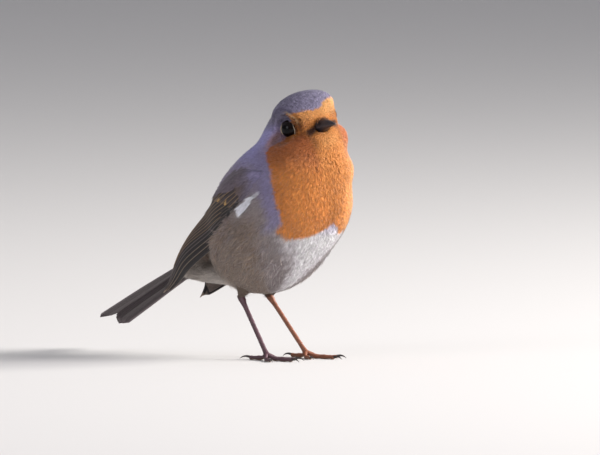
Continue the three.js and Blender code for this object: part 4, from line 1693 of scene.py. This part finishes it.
def wing_cover(p):
    """1 where a folded wing hides the body, falling to 0 at the wing's rim."""
    rows, columns = wing.u[::4], np.linspace(0, 1, wing.columns)[::4]
    on_face = wing.face[::4, ::4].reshape(-1, 3)
    q = on_the_left(p)
    best = np.full(len(p), 1e9)
    u, v = np.zeros(len(p)), np.zeros(len(p))
    for place, a, b in zip(on_face, np.repeat(rows, len(columns)), np.tile(columns, len(rows))):
        d = ((q - place) ** 2).sum(1)
        near = d < best
        best = np.where(near, d, best)
        u = np.where(near, a, u)
        v = np.where(near, b, v)
    near = smoothstep(np.sqrt(best), 6.5, 4.0)
    inner = smoothstep(v, 0.02, 0.16) * smoothstep(v, 1.0, 0.92) * smoothstep(u, 0.04, 0.12)
    return near * inner


def region(p):
    """Length, half width and lift of the plumes at each place, all in mm."""
    face = to_head(p)
    from_bill = np.linalg.norm(face - [0, 8.5, -1.5], axis=1)
    left, forward, up = p[:, 0], -p[:, 1], p[:, 2]
    length = lerp(1.2, 4.4, smoothstep(from_bill, 3, 34))
    width = lerp(0.3, 0.8, smoothstep(from_bill, 3, 30))
    flank = smoothstep(up, 58, 46) * smoothstep(np.abs(left), 8, 17)
    length = lerp(length, 8.0, flank)
    rear = smoothstep(forward, -6, -20)
    length = lerp(length, 7, rear)
    fringe = smoothstep(forward, 8, -2) * smoothstep(forward, -16, -8) * smoothstep(np.abs(left), 7, 11)
    length = lerp(length, 10.5, fringe * smoothstep(up, 46, 38))
    low = smoothstep(p[:, 2], 31, 26) * smoothstep(legs_gap(p), 3, 0)
    length = lerp(length, 2.2, low)
    width = lerp(width, 0.45, low)
    lift = coat_depth(p)
    return length, width, lift


def head_part(p):
    """1 on the head, 0 below it."""
    return smoothstep(p[:, 2], 77, 81)


def kept_roots(density, where):
    """Roots on the skin, and their places on the map: about density(place) of them per square mm,
    kept as where(place) says, and clear of the eyes, the bill and the folded wings."""
    p, uv = ground.roots(density)
    keep = random.random(len(p)) < where(p)
    keep = keep & (eye_gap(p) > 0.25) & (bill_room(p) > -0.1)
    p, uv = p[keep], uv[keep]
    keep = random.random(len(p)) > wing_cover(p)
    return p[keep], uv[keep]


def looseness(p):
    """1 on the shaggy grey flanks, 0 where the coat lies close."""
    loose = smoothstep(p[:, 2], 60, 50) * smoothstep(np.abs(p[:, 0]), 8, 16)
    loose = loose * smoothstep(-bib_edge(p, to_head(p)), 0, 3)
    return loose * lerp(1, 0.3, smoothstep(dress(p).mean(axis=1), 0.45, 0.85))


def coat(
    name, kind, density, where, slot, broad, high, stretch=1.0, spread=0.15, pieces=1, light=1.0
):
    """Grows one part of the coat from the skin, density and where as for its roots. It is stretch
    times as long, broad times as wide and high times as high as the region's measures say, and
    light times as light; spread is how far, in radians, the feathers' directions stray."""
    p, uv = kept_roots(density, where)
    normal = unit(slope_of(feathering, p))
    loose = looseness(p)
    near_wing, over_wing = past_wing(p)
    way = unit(lie(p, normal) + over_wing * (0.2 * near_wing)[:, None])
    way = level_with(normal, way)
    swirl = noise(p, 5) * lerp(0.05, 0.2, loose)
    way = turned_in_plane(way, normal, random.normal(0, spread, len(p)) + swirl)
    length, width, lift = region(p)
    by_eye = lerp(0.4, 1, smoothstep(eye_gap(p), 0.1, 3))
    length = length * stretch * random.uniform(0.75, 1.2, len(p)) * by_eye
    length = length * lerp(1, 0.6, near_wing * smoothstep(p[:, 2], 38, 48))
    width = width * broad * random.uniform(0.8, 1.2, len(p))
    lift = np.clip(-feathering(p), 0.12, lift * 1.4 + 0.2) * high * random.uniform(0.85, 1.1, len(p))
    lift = lift + 0.9 * near_wing
    varied = 1 + random.normal(0, 1, len(p)) * lerp(0.08, 0.24, loose)
    tints = dress(p + way * (length * 0.6)[:, None] + normal) * varied.clip(0.5, 1.6)[:, None]
    warm = (loose * (0.1 * noise(p, 4) + random.normal(0, 0.06, len(p))))[:, None]
    tints = (tints * (1 + warm * [1, 0.5, -0.6]) * light).clip(0, 0.96)
    bend = random.normal(0, 0.12, len(p))
    given = (p, uv, normal, way, length, width, lift, tints, bend)
    for number, n in enumerate(np.array_split(random.permutation(len(p)), pieces)):
        title = name if pieces == 1 else f"{name}_{number + 1}"
        piece = grow(title, kind, *(part[n] for part in given), feathering)
        place_on_body(piece, slot)


skin_tree = KDTree(len(skin.data.vertices))
for index, place in enumerate(places(skin) / MM - SHIFT):
    skin_tree.insert(Vector(place), index)
skin_tree.balance()
skin_uv = np.zeros((len(skin.data.vertices), 2))
corner_of = np.empty(len(skin.data.loops), np.int32)
skin.data.loops.foreach_get("vertex_index", corner_of)
flat_uv = np.empty(len(skin.data.loops) * 2)
skin.data.uv_layers["OFBake"].data.foreach_get("uv", flat_uv)
skin_uv[corner_of] = flat_uv.reshape(-1, 2)


def unwrap_at(p):
    """The skin's own unwrap at the skin's point nearest each place."""
    return np.array([skin_uv[skin_tree.find(Vector(place))[1]] for place in p])


def wing_plumes(name, side, count, spot, angle, length, width, base, lift, colour):
    """Small soft feathers lying on a folded wing; spot(a, b) turns two numbers from 0 to 1 into
    (u, v) on the wing."""
    corners, faces = BLANKS["plume"]
    s, t, b = corners.T
    u0, v0 = spot(random.random(count), random.random(count))
    per_u = np.interp(u0, wing.u, wing.length)
    per_v = wing.across(np.clip(u0, 0, 0.93))
    turn = np.radians(angle + random.normal(0, 7, count))
    long = length * random.uniform(0.75, 1.15, count)
    half = width * random.uniform(0.8, 1.15, count)
    along = t[None] * long[:, None]
    beside = s[None] * half[:, None]
    du = (along * np.cos(turn)[:, None] - beside * np.sin(turn)[:, None]) / per_u[:, None]
    dv = (along * np.sin(turn)[:, None] + beside * np.cos(turn)[:, None]) / per_v[:, None]
    u, v = u0[:, None] + du, v0[:, None] + dv
    rise = base + lift * random.uniform(0.7, 1.2, count)[:, None] * (1 - (1 - t) ** 2) + b * half[:, None]
    rise = rise + wing_relief(u, v) - 0.4 * smoothstep(v, 0.12, -0.02)
    p, _ = wing.on(u.ravel(), v.ravel(), rise.ravel())
    p = p.reshape(count, -1, 3) * [side, 1, 1]
    roots, _ = wing.on(u0, v0, np.zeros(count))
    uv = unwrap_at(roots * [side, 1, 1])
    # shaft darkens the feather's own dark shaft; the root-to-tip shade is painted shade, each feather darker
    # towards its root where the feathers over it shade it
    shaft = 1 - 0.4 * np.exp(-((s / 0.4) ** 2))
    shade = (lerp(0.62, 1.2, np.clip(t, 0, 1)) * shaft)[None, :, None]
    varied = random.normal(1, 0.16, count).clip(0.6, 1.5)[:, None, None]
    tints = colour(u0, v0, roots * [side, 1, 1])[:, None, :] * shade * varied
    if side < 0:
        faces = [face[::-1] for face in faces]
    piece = mesh_of(name, p, faces, tints, map_patch(uv, s, t))
    piece.data.materials.append(COAT)
    place_on_body(piece, "plumage_back")


def scapular_spot(a, b):
    """Along the wing's upper edge, a narrower band towards the tip."""
    u = 0.56 * a - 0.03
    reach = np.interp(u, [-0.03, 0.12, 0.25, 0.38, 0.53], [0.62, 0.6, 0.5, 0.3, 0.1])
    return u, -0.05 + (reach + 0.05) * b


def lesser_spot(a, b):
    """At the wing's front, a narrower band lower down."""
    v = 0.3 + 0.7 * b
    return a * lerp(0.2, 0.1, b) - 0.035, v


def front_colour(u, p):
    """The body's own colour at the wing's very front, darker further back."""
    return dress(p) * lerp(0.95, 0.62, smoothstep(u, -0.03, 0.07))[:, None]


def scapular_colour(u, v, p):
    """The body's colour at the edges, and a grey-brown inside them."""
    inner = (smoothstep(v, 0.0, 0.2) * smoothstep(u, 0.0, 0.12))[:, None]
    return front_colour(u, p) * (1 - inner) + 0.82 * lerp(LESSER, SCAPULAR, 0.4) * inner


def lesser_colour(u, v, p):
    """The body's colour at the front and low edges, and a brown inside them."""
    inner = (smoothstep(u, 0.0, 0.1) * smoothstep(v, 1.0, 0.75))[:, None]
    return front_colour(u, p) * (1 - inner) + LESSER * inner


for title, side in SIDES.items():
    wing_plumes(f"lesser_coverts_{title}", side, 760, lesser_spot, -2, 3.6, 0.7, 0.15, 0.5, lesser_colour)
    wing_plumes(f"scapulars_{title}", side, 1300, scapular_spot, -3, 5.2, 0.8, 0.4, 0.35, scapular_colour)


WING_EDGES = np.concatenate([wing.face[22:66:3, -1], wing.face[34:70:3, 0]])  # lower, and rear upper


def past_wing(p):
    """How near places are to a folded wing's lower or rear upper edge, from 0 to 1, and which
    way to lean to lie over it."""
    q = on_the_left(p)
    d = np.linalg.norm(q[:, None] - WING_EDGES[None], axis=2)
    nearest = WING_EDGES[d.argmin(1)]
    way = unit(nearest - q)
    way[:, 0] = way[:, 0] * np.sign(p[:, 0])
    return smoothstep(d.min(1), 4.5, 1.0), way


def white_feathers(count):
    """The tuft of white flank feathers that lies over the right wing's front."""
    t = 0.15 + 0.6 * random.random(count) ** 0.6
    across = unit(np.cross(TUFT_LOW - TUFT_TOP, at(1, 0, 0)))
    aside = random.uniform(-1, 1, count) * lerp(0.0, 1.5, t)
    p = lerp(TUFT_TOP, TUFT_LOW, t[:, None]) + across * aside[:, None]
    p = sink(p, -0.7, feathering)
    normal = unit(slope_of(feathering, p))
    way = level_with(normal, unit(TUFT_LOW - TUFT_TOP) + at(0, -0.12, 0))
    way = turned_in_plane(way, normal, random.normal(0, 0.16, count))
    length = random.uniform(3.0, 4.6, count)
    width = random.uniform(0.25, 0.5, count)
    lift = random.uniform(1.2, 2.0, count)
    tints = WHITE_TUFT * random.uniform(0.85, 1.05, (count, 1))
    bend = random.normal(0, 0.08, count)
    given = (p, unwrap_at(p), normal, way, length, width, lift, tints, bend)
    piece = grow("white_flank_tuft", "plume", *given, feathering)
    place_on_body(piece, "plumage_breast")


white_feathers(90)


def bill_fringe(count):
    """Short feathers and bristles round the bill's base, pointing forwards along it."""
    around = random.uniform(0, 2 * np.pi, count)
    ahead = random.uniform(6.6, 9.0, count)
    t = (ahead - BILL_ROOT) / (BILL_TIP - BILL_ROOT)
    wide = eased(BILL_WIDTH, t) + 0.05
    deep = np.where(np.sin(around) > 0, eased(CULMEN, t), eased(GONYS, t)) + 0.05
    ahead = ahead + 1.3 * np.sin(around)
    by_gape = smoothstep(np.abs(np.sin(around) + 0.1), 0.5, 0.15)
    ahead = ahead - 1.8 * by_gape
    out = np.stack([np.cos(around) * wide, np.zeros(count), np.sin(around) * deep], axis=-1)
    q = out + np.stack([0 * t, ahead, bill_line(t)], axis=-1)
    p = in_head_many(q)
    forward = np.tile(head_turn @ at(0, 1, 0), (count, 1))
    normal = unit((unit(out) * [1, -1, 1]) @ head_turn.T)
    way = unit(forward + normal * random.uniform(0.05, 0.5, count)[:, None])
    normal = level_with(way, normal)
    length = random.uniform(0.8, 1.9, count)
    width = random.uniform(0.05, 0.1, count)
    lift = random.uniform(0.0, 0.5, count)
    tints = dress(p) * random.uniform(0.6, 1.05, (count, 1))
    tints = tints * (1 - by_gape[:, None]) + GAPE * by_gape[:, None]
    bend = random.normal(0, 0.1, count)
    given = (p, unwrap_at(p), normal, way, length, width, lift, tints, bend)
    piece = grow("bill_bristles", "barb", *given, lambda place: np.zeros(len(place)))
    place_on_body(piece, "plumage_breast")


bill_fringe(460)


def even(per_mm2):
    """The same density everywhere."""
    return lambda p: np.full(len(p), per_mm2)


def flank_part(p):
    """1 low on the body's sides."""
    left, forward, up = np.abs(p[:, 0]), -p[:, 1], p[:, 2]
    low = smoothstep(up, 55, 42) * smoothstep(left, 4, 11)
    return low * smoothstep(forward, -16, -8) * smoothstep(forward, 26, 16)


def front_part(p):
    """The body's front half; the back one is the rest of it."""
    return (1 - head_part(p)) * (-p[:, 1] > BREAST_MIDDLE)


def back_part(p):
    return (1 - head_part(p)) * (-p[:, 1] <= BREAST_MIDDLE)


BREAST, BACK = "plumage_breast", "plumage_back"
coat("plumes_front", "plume", even(3.1), front_part, BREAST, broad=0.9, high=0.9, pieces=2)
coat("plumes_back", "plume", even(2.7), back_part, BACK, broad=1.1, high=0.9, pieces=2)
coat("plumes_head", "plume", even(5.5), head_part, BREAST, broad=1.0, high=0.9, pieces=2)
BARBS = {"stretch": 0.8, "high": 1.05, "spread": 0.3, "pieces": 2}
coat("barbs_front", "barb", even(6.4), front_part, BREAST, broad=0.14, **BARBS)
coat("barbs_back", "barb", even(3.5), back_part, BACK, broad=0.14, **BARBS)
WISPS = {"stretch": 1.15, "high": 1.3, "spread": 0.42, "light": 1.35}
coat("flank_wisps", "barb", even(3.0), flank_part, BREAST, broad=0.22, **WISPS)
coat("barbs_head", "barb", even(8.0), head_part, BREAST, broad=0.24, **BARBS)


# ---------------------------------------------------------------- floor, light and camera
SWEEP = [  # the floor's profile from the middle outwards: radius and height, in metres
    (0.5, 0.0), (2.0, 0.0), (8.4, 0.0), (9.4, 0.15), (10.2, 0.6), (10.8, 1.5), (11.0, 3.0), (11.1, 6.0),
]


def make_stage():
    """A round paper sweep: flat under the bird, and rising far away."""
    bpy.ops.object.select_all(action="DESELECT")
    bpy.ops.mesh.primitive_circle_add(vertices=96, radius=1, fill_type="NOTHING")
    floor = bpy.context.object
    floor.name = "floor"
    bpy.ops.object.mode_set(mode="EDIT")
    bpy.ops.mesh.select_all(action="SELECT")
    for _ in SWEEP:
        bpy.ops.mesh.extrude_region_move(TRANSFORM_OT_translate={"value": (0, 0, 1)})
    bpy.ops.object.mode_set(mode="OBJECT")
    p = places(floor)
    ring = np.round(p[:, 2]).astype(int)
    radius = np.array([0.02] + [r for r, _ in SWEEP])[ring]
    height = np.array([0.0] + [h for _, h in SWEEP])[ring]
    around = np.arctan2(p[:, 1], p[:, 0])
    put(floor, np.stack([radius * np.cos(around), radius * np.sin(around), height], axis=-1))
    bpy.ops.object.mode_set(mode="EDIT")
    bpy.ops.mesh.select_all(action="DESELECT")
    bpy.ops.object.mode_set(mode="OBJECT")
    select_edges(floor, lambda a, b: a.xy.length < 0.03 and b.xy.length < 0.03)
    bpy.ops.object.mode_set(mode="EDIT")
    bpy.ops.mesh.fill_grid()
    bpy.ops.mesh.select_all(action="SELECT")
    bpy.ops.mesh.normals_make_consistent(inside=True)
    bpy.ops.object.mode_set(mode="OBJECT")
    smooth(floor)
    finish, _, shader = new_finish("paper_sweep", 0.9, 0.1)
    shader.inputs["Base Color"].default_value = (*paint(214, 212, 208), 1)
    floor.data.materials.append(finish)


VIEW_AZIMUTH = math.radians(-44)
VIEW_HEIGHT = math.radians(3)
VIEW_WIDTH = 226.4  # of the picture at the bird, in mm
LENS, SENSOR = 1200, 36  # a very long lens, so that near and far keep their sizes
to_camera = np.array([
    math.sin(VIEW_AZIMUTH) * math.cos(VIEW_HEIGHT),
    -math.cos(VIEW_AZIMUTH) * math.cos(VIEW_HEIGHT),
    math.sin(VIEW_HEIGHT),
])
image_right = np.array([math.cos(VIEW_AZIMUTH), math.sin(VIEW_AZIMUTH), 0])
image_up = np.cross(to_camera, image_right)


def make_camera():
    """A long lens ahead of the bird and to its right, looking a little down."""
    lens = bpy.data.cameras.new("camera")
    lens.lens = LENS
    lens.sensor_width = SENSOR
    lens.clip_end = 40
    camera = bpy.data.objects.new("camera", lens)
    bpy.context.scene.collection.objects.link(camera)
    target = at(0, 0, 0) + image_right * 16.2 + image_up * 49.2
    distance = VIEW_WIDTH / SENSOR * LENS
    camera.location = to_row(target + to_camera * distance)
    camera.rotation_euler = Vector(to_camera).to_track_quat("Z", "Y").to_euler()
    bpy.context.scene.camera = camera


def make_light(name, way, distance, size, power, colour):
    """A round area light in that direction from the bird, aimed at it."""
    lamp = bpy.data.lights.new(name, "AREA")
    lamp.shape = "DISK"
    lamp.size = size
    lamp.energy = power
    lamp.color = colour
    light = bpy.data.objects.new(name, lamp)
    bpy.context.scene.collection.objects.link(light)
    way = unit(way)
    light.location = to_row(at(0, 0, 55)) + way * distance
    light.rotation_euler = Vector(way).to_track_quat("Z", "Y").to_euler()
    light.visible_camera = False


make_stage()
make_camera()
# where the lights stand, as the camera sees them
from_the_right = image_right * 1.3 + to_camera * 0.28 + at(0, 0, 0.6)
from_the_left = -image_right * 0.9 + to_camera * 0.9 + at(0, 0, 0.35)
from_behind = image_right * 1.0 - to_camera * 0.3 + at(0, 0, 0.45)
make_light("key", from_the_right, distance=2.0, size=0.9, power=57, colour=(1.0, 0.97, 0.98))
make_light("fill", from_the_left, distance=2.2, size=1.2, power=11, colour=(0.94, 0.93, 1.0))
make_light("rim", from_behind, distance=2.2, size=1.0, power=54, colour=(1.0, 0.98, 0.96))
world = bpy.data.worlds.new("soft_room")
world.use_nodes = True
world.node_tree.nodes["Background"].inputs["Color"].default_value = (0.88, 0.89, 1.0, 1)
world.node_tree.nodes["Background"].inputs["Strength"].default_value = 0.42
bpy.context.scene.world = world
bpy.context.scene.view_settings.view_transform = "Standard"
